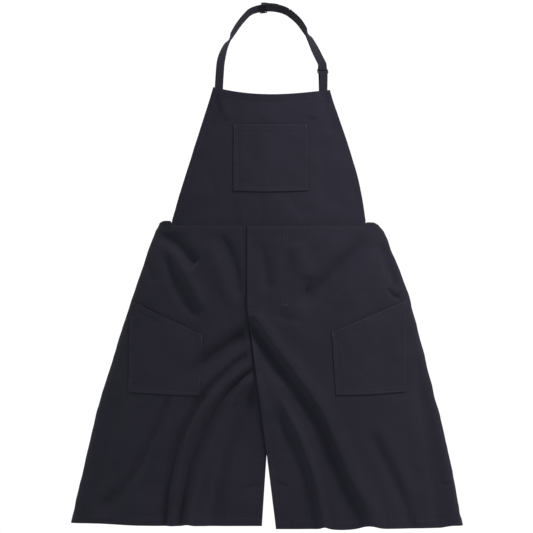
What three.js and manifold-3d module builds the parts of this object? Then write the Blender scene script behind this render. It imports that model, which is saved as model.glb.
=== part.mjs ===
// Split-leg artist's smock apron, hanging from the neck as it is worn. Millimetres, +Z up, front towards -Y,
// +X to the right of someone facing it. The origin is where the neck strap rests on the nape.
// "Left" and "right" are those of someone facing the apron.
import * as THREE from "three";
import { mergeVertices } from "three/addons/utils/BufferGeometryUtils.js";
import Module from "manifold-3d";

const wasm = await Module();
wasm.setup();

// ---- driving dimensions ----
const CLOTH = 1.6; // one layer of canvas with its turned edges
const LAYER_GAP = 0.8; // air between two sewn layers
const WAIST_Z = -508;
const BIB = {
  topZ: -198, scoop: 7, leftRise: 10, rightRise: 3.5, // the top edge dips between its raised corners
  topHalf: 134, spread: 91, topShift: 7, leftBow: 1, rightBow: 10,
};
const CHEST_Y = -172; // centre line of the bib's top edge
const BELLY_Y = -195; // centre line at the waist and below
const SKIRT = { length: 684, waistHalf: 254, flare: 260, taper: 66, lean: 5 };
const FOLD_BACK = { radius: 24, radiusGain: 16, flap: 80, flapGain: 60, headingDeg: 165 };
const LEG_CENTRE = 225; // where each leg panel stands furthest forward at the hem
const LEG_BULGE = 30;
const OVERLAP_PUSH = 7.0; // how far the right panel stands in front of the left one at the split
const PLACKET = { left: -49, right: 45, bottomZ: -690 };
const FLEX = { z: -664, gap: 12, rampFrom: 60, rampTo: 95 }; // soft line where a leg panel swings from
const BIB_POCKET = { left: -79, right: 88, topZ: -274, bottomZ: -428, bow: 12 };
const HIP_POCKET = {
  inner: 144, outer: 313, taper: 7, outerTopZ: -681, innerTopZ: -760, bottomZ: -896, bow: 12,
};
const HEM_DEPTH = 20;
const SIDE_HEM = 12;
const TOP_FACING_DEPTH = 26;
const BINDING = { half: 218, above: 12, below: 14 }; // tape behind the waist seam
const WEB = { width: 20, thick: 1.6, gap: 1.2 }; // neck strap webbing
const NAPE = { radius: 64, end: 0.8, rise: [0, 0.8, 0.6], across: [0, -0.6, 0.8] }; // circle the strap follows
const STRAP = {
  leftX: -115, // where its left end is sewn
  sewn: 24, // length of webbing behind the bib
  leftShoulder: [[-110, -134, -129], [-99, -102, -97], [-82, -67, -66], [-64, -37, -36]],
  rightShoulder: [[66, -37, -32], [83, -64, -58], [97, -92, -86], [110, -119, -111]],
};
const SLIDER = {
  at: -0.19, length: 18, bar: 3.2, thick: 2.4, wall: 1.8, middleLift: 4.7, loop: 2.8, sewnEnd: 15, freeLeg: 21,
};
const RING = { x: 127, z: -152, width: 24.4, height: 10, wire: 2.4, topOut: -8, bottomOut: -4, loop: 3.3 };
const SEWN_CLEARANCE = 0.3; // air in front of webbing that is sewn behind the bib

// ---- materials ----
const canvas = () => new THREE.MeshStandardMaterial({ color: 0x2b2a36, roughness: 0.92, metalness: 0 });
const webbing = () => new THREE.MeshStandardMaterial({ color: 0x25242e, roughness: 0.85, metalness: 0 });
const blackPlastic = () => new THREE.MeshStandardMaterial({ color: 0x0c0c0f, roughness: 0.35, metalness: 0 });
const thread = () => new THREE.MeshStandardMaterial({ color: 0x1d1c26, roughness: 0.8, metalness: 0 });

// ---- helpers ----
const apron = new THREE.Group();
const mix = (a, b, t) => a + (b - a) * t;
const clamp01 = (t) => Math.min(1, Math.max(0, t));
const smooth = (a, b, x) => {
  const t = clamp01((x - a) / (b - a));
  return t * t * (3 - 2 * t);
};
// Straight-line track through [z, x] stations that run downwards.
const track = (stations) => (z) => {
  for (let i = 1; i < stations.length; i += 1) {
    const [z0, x0] = stations[i - 1];
    const [z1, x1] = stations[i];
    if (z >= z1) return mix(x0, x1, clamp01((z0 - z) / (z0 - z1)));
  }
  return stations.at(-1)[1];
};

function closedMesh(name, positions, indices, material) {
  const p = positions;
  let volume = 0;
  for (let i = 0; i < indices.length; i += 3) {
    const [a, b, c] = [p[indices[i]], p[indices[i + 1]], p[indices[i + 2]]];
    volume += a[0] * (b[1] * c[2] - b[2] * c[1]) - a[1] * (b[0] * c[2] - b[2] * c[0])
      + a[2] * (b[0] * c[1] - b[1] * c[0]);
  }
  if (volume < 0) indices.reverse();
  const geometry = new THREE.BufferGeometry();
  geometry.setAttribute("position", new THREE.Float32BufferAttribute(p.flat(), 3));
  geometry.setIndex(indices);
  geometry.computeVertexNormals();
  const mesh = new THREE.Mesh(geometry, material);
  mesh.name = name;
  apron.add(mesh);
  return mesh;
}

// A closed sheet between two offsets of a surface. surface(u, v) gives { p, n }.
function sheet(name, surface, { nu, nv, inner, outer, material }) {
  const positions = [];
  for (const offset of [outer, inner]) {
    for (let j = 0; j <= nv; j += 1) {
      for (let i = 0; i <= nu; i += 1) {
        const { p, n } = surface(i / nu, j / nv);
        positions.push(p.map((value, k) => value + n[k] * offset));
      }
    }
  }
  const row = nu + 1;
  const back = row * (nv + 1);
  const indices = [];
  const quad = (a, b, c, d) => indices.push(a, b, c, a, c, d);
  for (let j = 0; j < nv; j += 1) {
    for (let i = 0; i < nu; i += 1) {
      const a = j * row + i;
      quad(a, a + 1, a + 1 + row, a + row);
      quad(back + a + row, back + a + 1 + row, back + a + 1, back + a);
    }
    const left = j * row;
    const right = left + nu;
    quad(left + row, back + left + row, back + left, left);
    quad(right, back + right, back + right + row, right + row);
  }
  for (let i = 0; i < nu; i += 1) {
    const bottom = nv * row + i;
    quad(i, back + i, back + i + 1, i + 1);
    quad(bottom + 1, back + bottom + 1, back + bottom, bottom);
  }
  return closedMesh(name, positions, indices, material);
}

// ---- the surface of the wearer's front that the cloth follows ----
const drop = (z) => clamp01((WAIST_Z - z) / SKIRT.length);
const bibDrop = (z) => Math.min(1, (BIB.topZ - z) / (BIB.topZ - WAIST_Z));
const halfWidth = (side, z) => {
  const t = drop(z);
  return SKIRT.waistHalf + SKIRT.flare * t - SKIRT.taper * t * t - side * SKIRT.lean * t;
};
const bibEdge = (side, z) => {
  const t = bibDrop(z);
  const bow = (side < 0 ? BIB.leftBow : BIB.rightBow) * Math.sin(Math.PI * Math.max(0, t) ** 1.4);
  return BIB.topShift * (1 - t) + side * (BIB.topHalf + BIB.spread * t + bow);
};
const curveRadius = (z) => mix(350, 1100, drop(z));
const legBulge = (x, z) => LEG_BULGE * drop(z) * Math.sin((Math.PI * x) / (2 * LEG_CENTRE)) ** 2;
const frontY = (x, z) => {
  const centre = mix(CHEST_Y, BELLY_Y, smooth(0, 1, bibDrop(z)));
  return centre + (x * x) / (2 * curveRadius(z)) - legBulge(x, z);
};
const slopeAt = (x, z) => (frontY(x + 0.5, z) - frontY(x - 0.5, z));
function onFront(x, z, push = 0) {
  const slope = slopeAt(x, z);
  const length = Math.hypot(1, slope);
  const n = [slope / length, -1 / length, 0];
  return { p: [x + n[0] * push, frontY(x, z) + n[1] * push, z], n };
}

// ---- bib ----
const bibTopZ = (u) => BIB.topZ - BIB.scoop * Math.sin(Math.PI * u)
  + mix(BIB.leftRise, BIB.rightRise, u) * (2 * u - 1) ** 2;
const bibAt = (u, z) => onFront(mix(bibEdge(-1, z), bibEdge(1, z), u), z);
const INSIDE = { inner: -LAYER_GAP - CLOTH, outer: -LAYER_GAP };

sheet("bib_panel", (u, v) => bibAt(u, mix(bibTopZ(u), WAIST_Z, v)), {
  nu: 18, nv: 10, inner: 0, outer: CLOTH, material: canvas(),
});
sheet("bib_top_facing", (u, v) => {
  const across = mix(0.16, 0.84, u);
  return bibAt(across, mix(bibTopZ(across) - 1, BIB.topZ - TOP_FACING_DEPTH, v));
}, { nu: 12, nv: 2, ...INSIDE, material: canvas() });
for (const [name, side] of [["bib_left_side_hem", -1], ["bib_right_side_hem", 1]]) {
  sheet(name, (u, v) => {
    const z = mix(BIB.topZ - TOP_FACING_DEPTH - 8, WAIST_Z + BINDING.above + 4, v);
    return onFront(bibEdge(side, z) - side * mix(SIDE_HEM + 1, 1, u), z);
  }, { nu: 2, nv: 10, ...INSIDE, material: canvas() });
}
sheet("waist_seam_binding", (u, v) => {
  const z = mix(WAIST_Z + BINDING.above, WAIST_Z - BINDING.below, v);
  return onFront(mix(-BINDING.half, BINDING.half, u), z);
}, { nu: 18, nv: 2, ...INSIDE, material: canvas() });

// ---- patch pockets ----
// A pocket is sewn on three sides and stands off the panel in the middle of its mouth.
const POCKET_OFF = CLOTH + LAYER_GAP + 0.3;
const pocketBow = (u, v, bow) => bow * Math.sin(Math.PI * u) ** 0.8 * (1 - smooth(0.1, 1, v));
function patchPocket(name, corner, bow) {
  const at = (u, v) => {
    const { x, z } = corner(u, v);
    return onFront(x, z, POCKET_OFF + pocketBow(u, v, bow));
  };
  sheet(name, at, { nu: 12, nv: 8, inner: 0, outer: CLOTH, material: canvas() });
  sheet(`${name}_mouth_hem`, (u, v) => at(mix(0.14, 0.86, u), mix(0.01, 0.1, v)), {
    nu: 10, nv: 2, ...INSIDE, material: canvas(),
  });
}
patchPocket("bib_pocket", (u, v) => ({
  x: mix(BIB_POCKET.left, BIB_POCKET.right, u),
  z: mix(BIB_POCKET.topZ, BIB_POCKET.bottomZ, v),
}), BIB_POCKET.bow);
for (const [name, side] of [["left_hip_pocket", -1], ["right_hip_pocket", 1]]) {
  patchPocket(name, (u, v) => ({
    x: side * mix(HIP_POCKET.inner + HIP_POCKET.taper * v, HIP_POCKET.outer, u),
    z: mix(mix(HIP_POCKET.innerTopZ, HIP_POCKET.outerTopZ, u), HIP_POCKET.bottomZ, v),
  }), HIP_POCKET.bow);
}

// ---- leg panels: each wraps from the split, across the front, round the side and a little way behind ----
const splitEdge = {
  "-1": track([[WAIST_Z, PLACKET.right], [PLACKET.bottomZ, PLACKET.right], [-1012, -3], [-1192, -15]]),
  1: track([[WAIST_Z, PLACKET.left], [PLACKET.bottomZ, PLACKET.left], [-814, -33], [-1012, -6], [-1192, 17]]),
};
const hemZ = (side, s) => -1191 - (side < 0 ? 9 : 15) * Math.sin(Math.PI * clamp01(s / 0.7));
const frontPush = (side, x) => (side < 0 ? 0 : OVERLAP_PUSH * (1 - smooth(60, 130, x)));
const FRONT_SHARE = 0.68;
const TURN_SHARE = 0.14;

// s runs from 0 at the split edge to 1 at the back edge.
function onLeg(side, s, z) {
  const radius = FOLD_BACK.radius + FOLD_BACK.radiusGain * drop(z);
  const outer = halfWidth(side, z);
  const heading = Math.atan(Math.abs(slopeAt(side * outer, z)));
  const turnX = outer - radius * (1 - Math.sin(heading));
  if (s <= FRONT_SHARE) {
    const x = mix(splitEdge[side](z), side * turnX, s / FRONT_SHARE);
    return onFront(x, z, frontPush(side, x));
  }
  const startY = frontY(side * turnX, z);
  const end = THREE.MathUtils.degToRad(FOLD_BACK.headingDeg);
  const angle = mix(heading, end, clamp01((s - FRONT_SHARE) / TURN_SHARE));
  const centre = [turnX - radius * Math.sin(heading), startY + radius * Math.cos(heading)];
  const beyond = Math.max(0, s - FRONT_SHARE - TURN_SHARE) / (1 - FRONT_SHARE - TURN_SHARE);
  const flap = beyond * (FOLD_BACK.flap + FOLD_BACK.flapGain * drop(z));
  const x = centre[0] + radius * Math.sin(angle) + flap * Math.cos(angle);
  const y = centre[1] - radius * Math.cos(angle) + flap * Math.sin(angle);
  return { p: [side * x, y, z], n: [side * Math.sin(angle), -Math.cos(angle), 0] };
}
// The swing line drops below the placket, which holds the two panels together.
const flexZ = (side, s) => {
  const x = Math.abs(onLeg(side, s, FLEX.z).p[0]);
  return mix(PLACKET.bottomZ, FLEX.z, smooth(FLEX.rampFrom, FLEX.rampTo, x));
};

for (const [word, side] of [["left", -1], ["right", 1]]) {
  const full = { nu: 25, inner: 0, outer: CLOTH, material: canvas() };
  sheet(`${word}_leg_top`, (s, v) => onLeg(side, s, mix(WAIST_Z - 0.5, flexZ(side, s), v)), { ...full, nv: 5 });
  sheet(`${word}_leg_panel`, (s, v) => onLeg(side, s, mix(flexZ(side, s) - FLEX.gap, hemZ(side, s), v)), {
    ...full, nv: 14,
  });
  sheet(`${word}_leg_hem`, (s, v) => onLeg(side, s, mix(hemZ(side, s) + HEM_DEPTH, hemZ(side, s) + 1, v)), {
    nu: 25, nv: 2, ...INSIDE, material: canvas(),
  });
  sheet(`${word}_split_edge_hem`, (u, v) => {
    const z = mix(PLACKET.bottomZ - 30, hemZ(side, 0) + HEM_DEPTH + 1, v);
    const x = splitEdge[side](z) + side * mix(1, SIDE_HEM + 1, u);
    return onFront(x, z, frontPush(side, x));
  }, { nu: 2, nv: 12, ...INSIDE, material: canvas() });
  sheet(`${word}_back_edge_hem`, (u, v) => {
    const z = mix(FLEX.z - FLEX.gap - 2, -1191 + HEM_DEPTH + 1, v);
    return onLeg(side, mix(0.985, 0.999, u), z);
  }, { nu: 2, nv: 12, ...INSIDE, material: canvas() });
}
sheet("placket_facing", (u, v) => {
  const x = mix(PLACKET.left + 4, PLACKET.right - 4, u);
  return onFront(x, mix(WAIST_Z - BINDING.below - 2, PLACKET.bottomZ + 2, v));
}, { nu: 6, nv: 6, ...INSIDE, material: canvas() });

// ---- bar tacks: thread blocks that hold the pocket mouths and the placket's foot ----
const TACK = { long: 8, wide: 2.4, thick: 0.8 };
function barTack(name, x, z, wide, tall, push) {
  const at = (u, v) => onFront(x + mix(-wide / 2, wide / 2, u), z + mix(tall / 2, -tall / 2, v), push);
  sheet(name, at, { nu: 2, nv: 2, inner: 0, outer: TACK.thick, material: thread() });
}
const onPocket = POCKET_OFF + CLOTH + 1.8;
barTack("bib_pocket_left_tack", BIB_POCKET.left + 3, BIB_POCKET.topZ - 5, TACK.wide, TACK.long, onPocket);
barTack("bib_pocket_right_tack", BIB_POCKET.right - 3, BIB_POCKET.topZ - 5, TACK.wide, TACK.long, onPocket);
for (const [word, side] of [["left", -1], ["right", 1]]) {
  const tack = (end, inset, z) => {
    const x = side * (end === "outer" ? HIP_POCKET.outer - inset : HIP_POCKET.inner + inset);
    barTack(`${word}_hip_pocket_${end}_tack`, x, z, TACK.wide, TACK.long, onPocket);
  };
  tack("outer", 3, HIP_POCKET.outerTopZ - 8);
  tack("inner", 3.6, HIP_POCKET.innerTopZ - 5);
}
const placketTackPush = OVERLAP_PUSH + CLOTH + 0.4;
barTack("placket_foot_tack", PLACKET.right - 7, PLACKET.bottomZ + 6, TACK.long, TACK.wide, placketTackPush);

// ---- neck strap ----
// The strap rises from the bib's left corner, turns edge-on over the shoulder, follows a circle round the
// nape, and comes down to the ring, where it turns back up to the slider.
const across = new THREE.Vector3(...NAPE.across);
const rise = new THREE.Vector3(...NAPE.rise);
const napeCentre = rise.clone().multiplyScalar(-NAPE.radius);
const napePoint = (angle, lift = 0) => {
  const r = NAPE.radius + lift;
  return napeCentre.clone().add(new THREE.Vector3(r * Math.sin(angle), 0, 0))
    .addScaledVector(rise, r * Math.cos(angle));
};

// A ribbon through stations { p, w }: w is the direction of its width, lift moves it along its outer face.
function ribbon(name, stations, lift = 0) {
  const points = stations.map(({ p }) => new THREE.Vector3(...p));
  const rows = points.map((p, i) => {
    const before = points[Math.max(0, i - 1)];
    const after = points[Math.min(points.length - 1, i + 1)];
    const along = after.clone().sub(before).normalize();
    const w = new THREE.Vector3(...stations[i].w);
    w.addScaledVector(along, -w.dot(along)).normalize();
    const n = new THREE.Vector3().crossVectors(w, along).normalize();
    return { p: p.clone().addScaledVector(n, lift), w, n };
  });
  return sheet(name, (u, v) => {
    const { p, w, n } = rows[Math.round(v * (rows.length - 1))];
    return { p: p.clone().addScaledVector(w, (u - 0.5) * WEB.width).toArray(), n: n.toArray() };
  }, { nu: 2, nv: rows.length - 1, inner: -WEB.thick / 2, outer: WEB.thick / 2, material: webbing() });
}
// Evenly spaced stations on a smooth curve through hand-placed points, turning the width between two vectors.
function smoothRun(points, widths, count) {
  const curve = new THREE.CatmullRomCurve3(points.map((p) => new THREE.Vector3(...p)));
  return Array.from({ length: count + 1 }, (_, i) => {
    const t = i / count;
    const at = t * (widths.length - 1);
    const k = Math.min(widths.length - 2, Math.floor(at));
    const w = new THREE.Vector3(...widths[k]).lerp(new THREE.Vector3(...widths[k + 1]), at - k).normalize();
    return { p: curve.getPointAt(t).toArray(), w: w.toArray() };
  });
}
const napeRun = (from, to, count, lift = 0) => Array.from({ length: count + 1 }, (_, i) => ({
  p: napePoint(mix(from, to, i / count), lift).toArray(),
  w: NAPE.across,
}));
const napeLeft = napePoint(-NAPE.end).toArray();
const napeRight = napePoint(NAPE.end).toArray();

// Where webbing is sewn behind a top corner: a line that leans with the bib there. out is towards the front.
function corner(x) {
  const { p, n } = onFront(x, BIB.topZ);
  return {
    w: [-n[1], n[0], 0],
    at: (out, z) => [p[0] + n[0] * out, p[1] + n[1] * out, z],
  };
}
const sewnOut = -(LAYER_GAP + SEWN_CLEARANCE + WEB.thick / 2);
const leftCorner = corner(STRAP.leftX);
const ringCorner = corner(RING.x);

ribbon("neck_strap_left", [
  ...smoothRun([
    leftCorner.at(sewnOut, BIB.topZ - STRAP.sewn), leftCorner.at(sewnOut - 0.6, BIB.topZ + 6),
    leftCorner.at(sewnOut - 6, BIB.topZ + 38), ...STRAP.leftShoulder, napeLeft,
  ], [leftCorner.w, leftCorner.w, [0.9, -0.3, 0.1], [0.4, -0.7, 0.5], [0, -0.7, 0.7], NAPE.across], 26),
  ...napeRun(-NAPE.end, -0.02, 10).slice(1),
]);
const fromRight = ringCorner.w.map((value) => -value);
const turnWidths = [NAPE.across, [0, -0.7, 0.7], [-0.4, -0.7, 0.5], [-0.9, -0.3, 0.1], fromRight];
const LAYERS_APART = WEB.thick + WEB.gap;
const meetZ = RING.z + RING.height / 2 + 11;
const shoulderRight = [napeRight, ...STRAP.rightShoulder, ringCorner.at(RING.topOut - LAYERS_APART / 2, meetZ)];
const strapToRing = [...napeRun(0, NAPE.end, 10), ...smoothRun(shoulderRight, turnWidths, 22).slice(1)];
ribbon("neck_strap_to_ring", strapToRing);
ribbon("neck_strap_return", strapToRing.slice(3), LAYERS_APART);

// ---- ring, the strap's turn round its upper bar, and the tab round its lower bar ----
// Stations of a U round a bar that lies along the ring's width, opening upwards (+1) or downwards (-1).
function turnRound(out, z, opening) {
  return Array.from({ length: 9 }, (_, i) => {
    const angle = Math.PI * (i / 8);
    return ringCorner.at(out - RING.loop * Math.cos(angle), z - opening * RING.loop * Math.sin(angle));
  });
}
const TURN_GAP = 2.4; // between the long runs of the strap and its turn round the ring
const barZ = RING.height / 2;
const asStations = (points) => points.map((p) => ({ p, w: fromRight }));
ribbon("neck_strap_turn", asStations([
  ringCorner.at(RING.topOut - LAYERS_APART / 2, meetZ - TURN_GAP),
  ...turnRound(RING.topOut, RING.z + barZ, 1),
  ringCorner.at(RING.topOut + LAYERS_APART / 2, meetZ - TURN_GAP),
]));
const tabBack = sewnOut - WEB.thick - WEB.gap;
ribbon("ring_tab", asStations([
  ringCorner.at(tabBack, BIB.topZ - STRAP.sewn), ringCorner.at(tabBack, BIB.topZ),
  ...turnRound(RING.bottomOut, RING.z - barZ, -1),
  ringCorner.at(sewnOut - SEWN_CLEARANCE, BIB.topZ), ringCorner.at(sewnOut, BIB.topZ - STRAP.sewn),
]));

// Rounded rectangle centred on the origin.
function roundedRectangle(target, width, height, r) {
  const [x, y] = [width / 2, height / 2];
  target.moveTo(-x + r, -y);
  target.lineTo(x - r, -y).quadraticCurveTo(x, -y, x, -y + r);
  target.lineTo(x, y - r).quadraticCurveTo(x, y, x - r, y);
  target.lineTo(-x + r, y).quadraticCurveTo(-x, y, -x, y - r);
  target.lineTo(-x, -y + r).quadraticCurveTo(-x, -y, -x + r, -y);
  return target;
}
const ringShape = roundedRectangle(new THREE.Shape(), RING.width + RING.wire, RING.height + RING.wire, 2.4);
ringShape.holes.push(roundedRectangle(new THREE.Path(), RING.width - RING.wire, RING.height - RING.wire, 1));
const ring = new THREE.Mesh(
  new THREE.ExtrudeGeometry(ringShape, { depth: RING.wire, bevelEnabled: false, curveSegments: 3 })
    .translate(0, 0, -RING.wire / 2),
  blackPlastic(),
);
ring.name = "strap_ring";
const ringTop = new THREE.Vector3(...ringCorner.at(RING.topOut, RING.z + barZ));
const ringBottom = new THREE.Vector3(...ringCorner.at(RING.bottomOut, RING.z - barZ));
const ringX = new THREE.Vector3(...ringCorner.w);
const ringY = ringTop.clone().sub(ringBottom).normalize();
ring.applyMatrix4(new THREE.Matrix4().makeBasis(ringX, ringY, ringX.clone().cross(ringY)));
ring.position.copy(ringTop.add(ringBottom).multiplyScalar(0.5));
apron.add(ring);

// ---- slider: two side walls, two bars inside the strap and a middle bar outside it ----
const sliderAt = (angle, lift, aside) => napePoint(SLIDER.at + angle, lift).addScaledVector(across, aside);
function sliderBlock(angle, lift, aside, along, deep, wide) {
  const block = new THREE.BoxGeometry(along, deep, wide);
  const out = napePoint(SLIDER.at + angle).sub(napeCentre).normalize();
  block.applyMatrix4(new THREE.Matrix4().makeBasis(new THREE.Vector3().crossVectors(out, across), out, across));
  block.translate(...sliderAt(angle, lift, aside).toArray());
  for (const attribute of ["normal", "uv"]) block.deleteAttribute(attribute);
  const merged = mergeVertices(block);
  return new wasm.Manifold(new wasm.Mesh({
    numProp: 3,
    vertProperties: merged.attributes.position.array,
    triVerts: new Uint32Array(merged.index.array),
  }));
}
const wallAside = WEB.width / 2 + 0.5 + SLIDER.wall / 2;
const sideAngle = (SLIDER.length / 2 - SLIDER.bar / 2 - 0.3) / NAPE.radius;
const barWide = WEB.width + 2 * SLIDER.wall;
const insideLift = -(WEB.thick / 2 + 0.5 + SLIDER.thick / 2);
const wallBase = insideLift - SLIDER.thick / 2;
const wallTop = SLIDER.middleLift + SLIDER.thick / 2;
const wall = (sign) => sliderBlock(
  0, (wallBase + wallTop) / 2, sign * wallAside, SLIDER.length, wallTop - wallBase, SLIDER.wall,
);
const sliderSolid = wall(-1).add(wall(1))
  .add(sliderBlock(-sideAngle, insideLift, 0, SLIDER.bar, SLIDER.thick, barWide))
  .add(sliderBlock(sideAngle, insideLift, 0, SLIDER.bar, SLIDER.thick, barWide))
  .add(sliderBlock(0, SLIDER.middleLift, 0, SLIDER.thick, SLIDER.thick, barWide));
const sliderMesh = sliderSolid.getMesh();
const sliderGeometry = new THREE.BufferGeometry();
sliderGeometry.setAttribute("position", new THREE.Float32BufferAttribute(sliderMesh.vertProperties, 3));
sliderGeometry.setIndex([...sliderMesh.triVerts]);
sliderGeometry.computeVertexNormals();
const slider = new THREE.Mesh(sliderGeometry, blackPlastic());
slider.name = "strap_slider";
apron.add(slider);

// The strap's end is sewn back on itself round the middle bar, and travels with the slider.
// Each place is a distance along the strap from the middle bar, and a lift off it.
const endLoop = [
  [SLIDER.sewnEnd, LAYERS_APART + WEB.thick + 0.3],
  [0.6 * SLIDER.sewnEnd, SLIDER.middleLift + SLIDER.loop - 1],
  [0.33 * SLIDER.sewnEnd, SLIDER.middleLift + SLIDER.loop],
];
const loopRound = Array.from({ length: 7 }, (_, i) => {
  const angle = Math.PI * (i / 6);
  return [-SLIDER.loop * Math.sin(angle), SLIDER.middleLift + SLIDER.loop * Math.cos(angle)];
});
const loopOut = [
  [0.33 * SLIDER.sewnEnd, SLIDER.middleLift - SLIDER.loop],
  [SLIDER.sewnEnd, LAYERS_APART],
  [SLIDER.freeLeg, LAYERS_APART],
];
ribbon("neck_strap_end_loop", [...endLoop, ...loopRound, ...loopOut].map(([distance, lift]) => ({
  p: sliderAt(distance / NAPE.radius, lift, 0).toArray(),
  w: NAPE.across,
})));

export default apron;
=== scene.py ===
import math

import bpy
import bmesh
import numpy as np
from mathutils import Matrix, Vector


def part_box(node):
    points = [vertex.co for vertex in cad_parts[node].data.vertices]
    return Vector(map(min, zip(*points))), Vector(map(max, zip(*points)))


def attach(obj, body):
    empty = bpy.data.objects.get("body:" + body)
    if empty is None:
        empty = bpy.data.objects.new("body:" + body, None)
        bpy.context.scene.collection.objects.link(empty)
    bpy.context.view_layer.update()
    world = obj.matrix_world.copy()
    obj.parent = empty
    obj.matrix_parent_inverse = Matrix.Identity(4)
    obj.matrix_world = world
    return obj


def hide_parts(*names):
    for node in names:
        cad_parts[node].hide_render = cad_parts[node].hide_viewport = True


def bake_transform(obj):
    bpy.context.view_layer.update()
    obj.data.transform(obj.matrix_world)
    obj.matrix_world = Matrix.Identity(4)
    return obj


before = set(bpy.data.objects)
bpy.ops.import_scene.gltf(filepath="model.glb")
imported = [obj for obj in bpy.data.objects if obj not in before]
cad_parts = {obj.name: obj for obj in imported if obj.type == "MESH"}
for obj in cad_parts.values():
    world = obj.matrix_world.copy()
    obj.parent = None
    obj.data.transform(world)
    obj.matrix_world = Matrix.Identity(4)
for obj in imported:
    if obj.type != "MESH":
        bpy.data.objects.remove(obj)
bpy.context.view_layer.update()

# ---- camera, floor and light ----
# The view is square to the front, against plain white daylight. The strongest lamp is faintly pink, 0.7 m
# across and high on the right, so pocket edges and folds shade towards the lower left. Two weaker ones stand
# on the left and behind.
VIEW_CENTRE = Vector((-0.0046, 0.0, -0.6015))
VIEW_WIDTH = 1.226
CHEST_PLANE = -0.17
CAMERA_DISTANCE = 16.0

camera_data = bpy.data.cameras.new("camera")
camera_data.sensor_width = 36.0
camera_data.lens = 36.0 * CAMERA_DISTANCE / VIEW_WIDTH
camera = bpy.data.objects.new("camera", camera_data)
camera.location = VIEW_CENTRE + Vector((0.0, CHEST_PLANE - CAMERA_DISTANCE, 0.0))
camera.rotation_euler = (math.radians(90), 0.0, 0.0)
bpy.context.collection.objects.link(camera)
bpy.context.scene.camera = camera


def plain_material(name, colour, roughness):
    material = bpy.data.materials.new(name)
    material.use_nodes = True
    shader = material.node_tree.nodes["Principled BSDF"]
    shader.inputs["Base Color"].default_value = (*colour, 1.0)
    shader.inputs["Roughness"].default_value = roughness
    return material


def mesh_object(name, points, faces, material):
    mesh = bpy.data.meshes.new(name)
    mesh.from_pydata([tuple(p) for p in points], [], [tuple(f) for f in faces])
    mesh.materials.append(material)
    mesh.polygons.foreach_set("use_smooth", [True] * len(mesh.polygons))
    mesh.update()
    piece = bpy.data.objects.new(name, mesh)
    bpy.context.collection.objects.link(piece)
    return piece


FLOOR_Z = -1.9
FLOOR_REACH = 9.0
floor_signs = ((-1, -1), (1, -1), (1, 1), (-1, 1))
floor_corners = [(sx * FLOOR_REACH, sy * FLOOR_REACH, FLOOR_Z) for sx, sy in floor_signs]
pale_floor = plain_material("pale_floor", (0.98, 0.98, 0.98), 0.95)
floor = mesh_object("floor", floor_corners, [(0, 1, 2, 3)], pale_floor)

world = bpy.data.worlds.new("daylight")
world.use_nodes = True
world.node_tree.nodes["Background"].inputs["Color"].default_value = (1.0, 1.0, 1.0, 1.0)
world.node_tree.nodes["Background"].inputs["Strength"].default_value = 1.05
bpy.context.scene.world = world
bpy.context.scene.view_settings.view_transform = "Standard"


def soft_lamp(name, place, size, power, colour=(1.0, 1.0, 1.0)):
    lamp_data = bpy.data.lights.new(name, "AREA")
    lamp_data.color = colour
    lamp_data.size = size
    lamp_data.energy = power
    lamp = bpy.data.objects.new(name, lamp_data)
    lamp.location = place
    lamp.rotation_euler = (VIEW_CENTRE - Vector(place)).to_track_quat("-Z", "Y").to_euler()
    bpy.context.collection.objects.link(lamp)


soft_lamp("key_lamp", (1.1, -1.35, 1.35), 0.7, 108.0, (1.0, 0.82, 0.86))
soft_lamp("fill_lamp", (-2.6, -2.6, 0.2), 2.0, 8.0)
soft_lamp("back_lamp", (-0.8, 3.0, 1.2), 1.5, 25.0)

# ---- bib panel ----
# One flared piece of dark navy cotton canvas, curved round the chest. Its sides are turned in and
# topstitched, its top edge dips between the strap corners, and its foot is sewn behind the leg panels.
CLOTH = 0.0009
bib_low, bib_high = (Vector(corner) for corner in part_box("bib_panel"))
WAIST_Z = bib_low.z
LEFT_RISE = 0.010
RIGHT_RISE = 0.0035
BIB_TOP = bib_high.z - LEFT_RISE
BIB_DEPTH = BIB_TOP - WAIST_Z
SKIRT_LENGTH = 0.684
BIB_TOP_HALF = 0.134
BIB_SPREAD = 0.091
BIB_SHIFT = 0.007
TOP_SCOOP = 0.007
SEAM_ALLOWANCE = 0.012


def ease(a, b, x):
    """A smooth step from 0 at a to 1 at b."""
    t = np.clip((x - a) / (b - a), 0.0, 1.0)
    return t * t * (3 - 2 * t)


def mix(a, b, t):
    return a + (b - a) * t


def drop(z):
    """How far down the legs a height is, from 0 at the waist to about 1 at the hem."""
    return np.clip((WAIST_Z - z) / SKIRT_LENGTH, 0.0, 1.1)


def bib_drop(z):
    """How far down the bib a height is, from 0 at its top to 1 at the waist."""
    return np.clip((BIB_TOP - z) / BIB_DEPTH, -0.05, 1.0)


def bib_edge(side, z):
    """Where the bib's left (-1) or right (1) edge is at a height: it flares downwards with a slight bow."""
    t = bib_drop(z)
    bow = (0.001 if side < 0 else 0.010) * np.sin(math.pi * np.maximum(t, 0) ** 1.4)
    return BIB_SHIFT * (1 - t) + side * (BIB_TOP_HALF + BIB_SPREAD * t + bow)


def front_y(x, z):
    """Depth of the smooth form that the cloth hangs over."""
    centre = mix(-0.172, -0.195, ease(0.0, 1.0, bib_drop(z)))
    legs = 0.030 * drop(z) * np.sin(math.pi * x / 0.45) ** 2
    return centre + x * x / (2 * mix(0.35, 1.1, drop(z))) - legs


def front_normal(x, z):
    slope = (front_y(x + 0.0005, z) - front_y(x - 0.0005, z)) / 0.001
    length = np.sqrt(1 + slope * slope)
    return np.stack([slope / length, -1 / length, np.zeros_like(slope)], -1)


def on_front(x, z, push):
    """Points that stand push in front of the smooth form."""
    x, z, push = np.broadcast_arrays(np.asarray(x, float), np.asarray(z, float), np.asarray(push, float))
    return np.stack([x, front_y(x, z), z], -1) + front_normal(x, z) * push[..., None]


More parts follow.
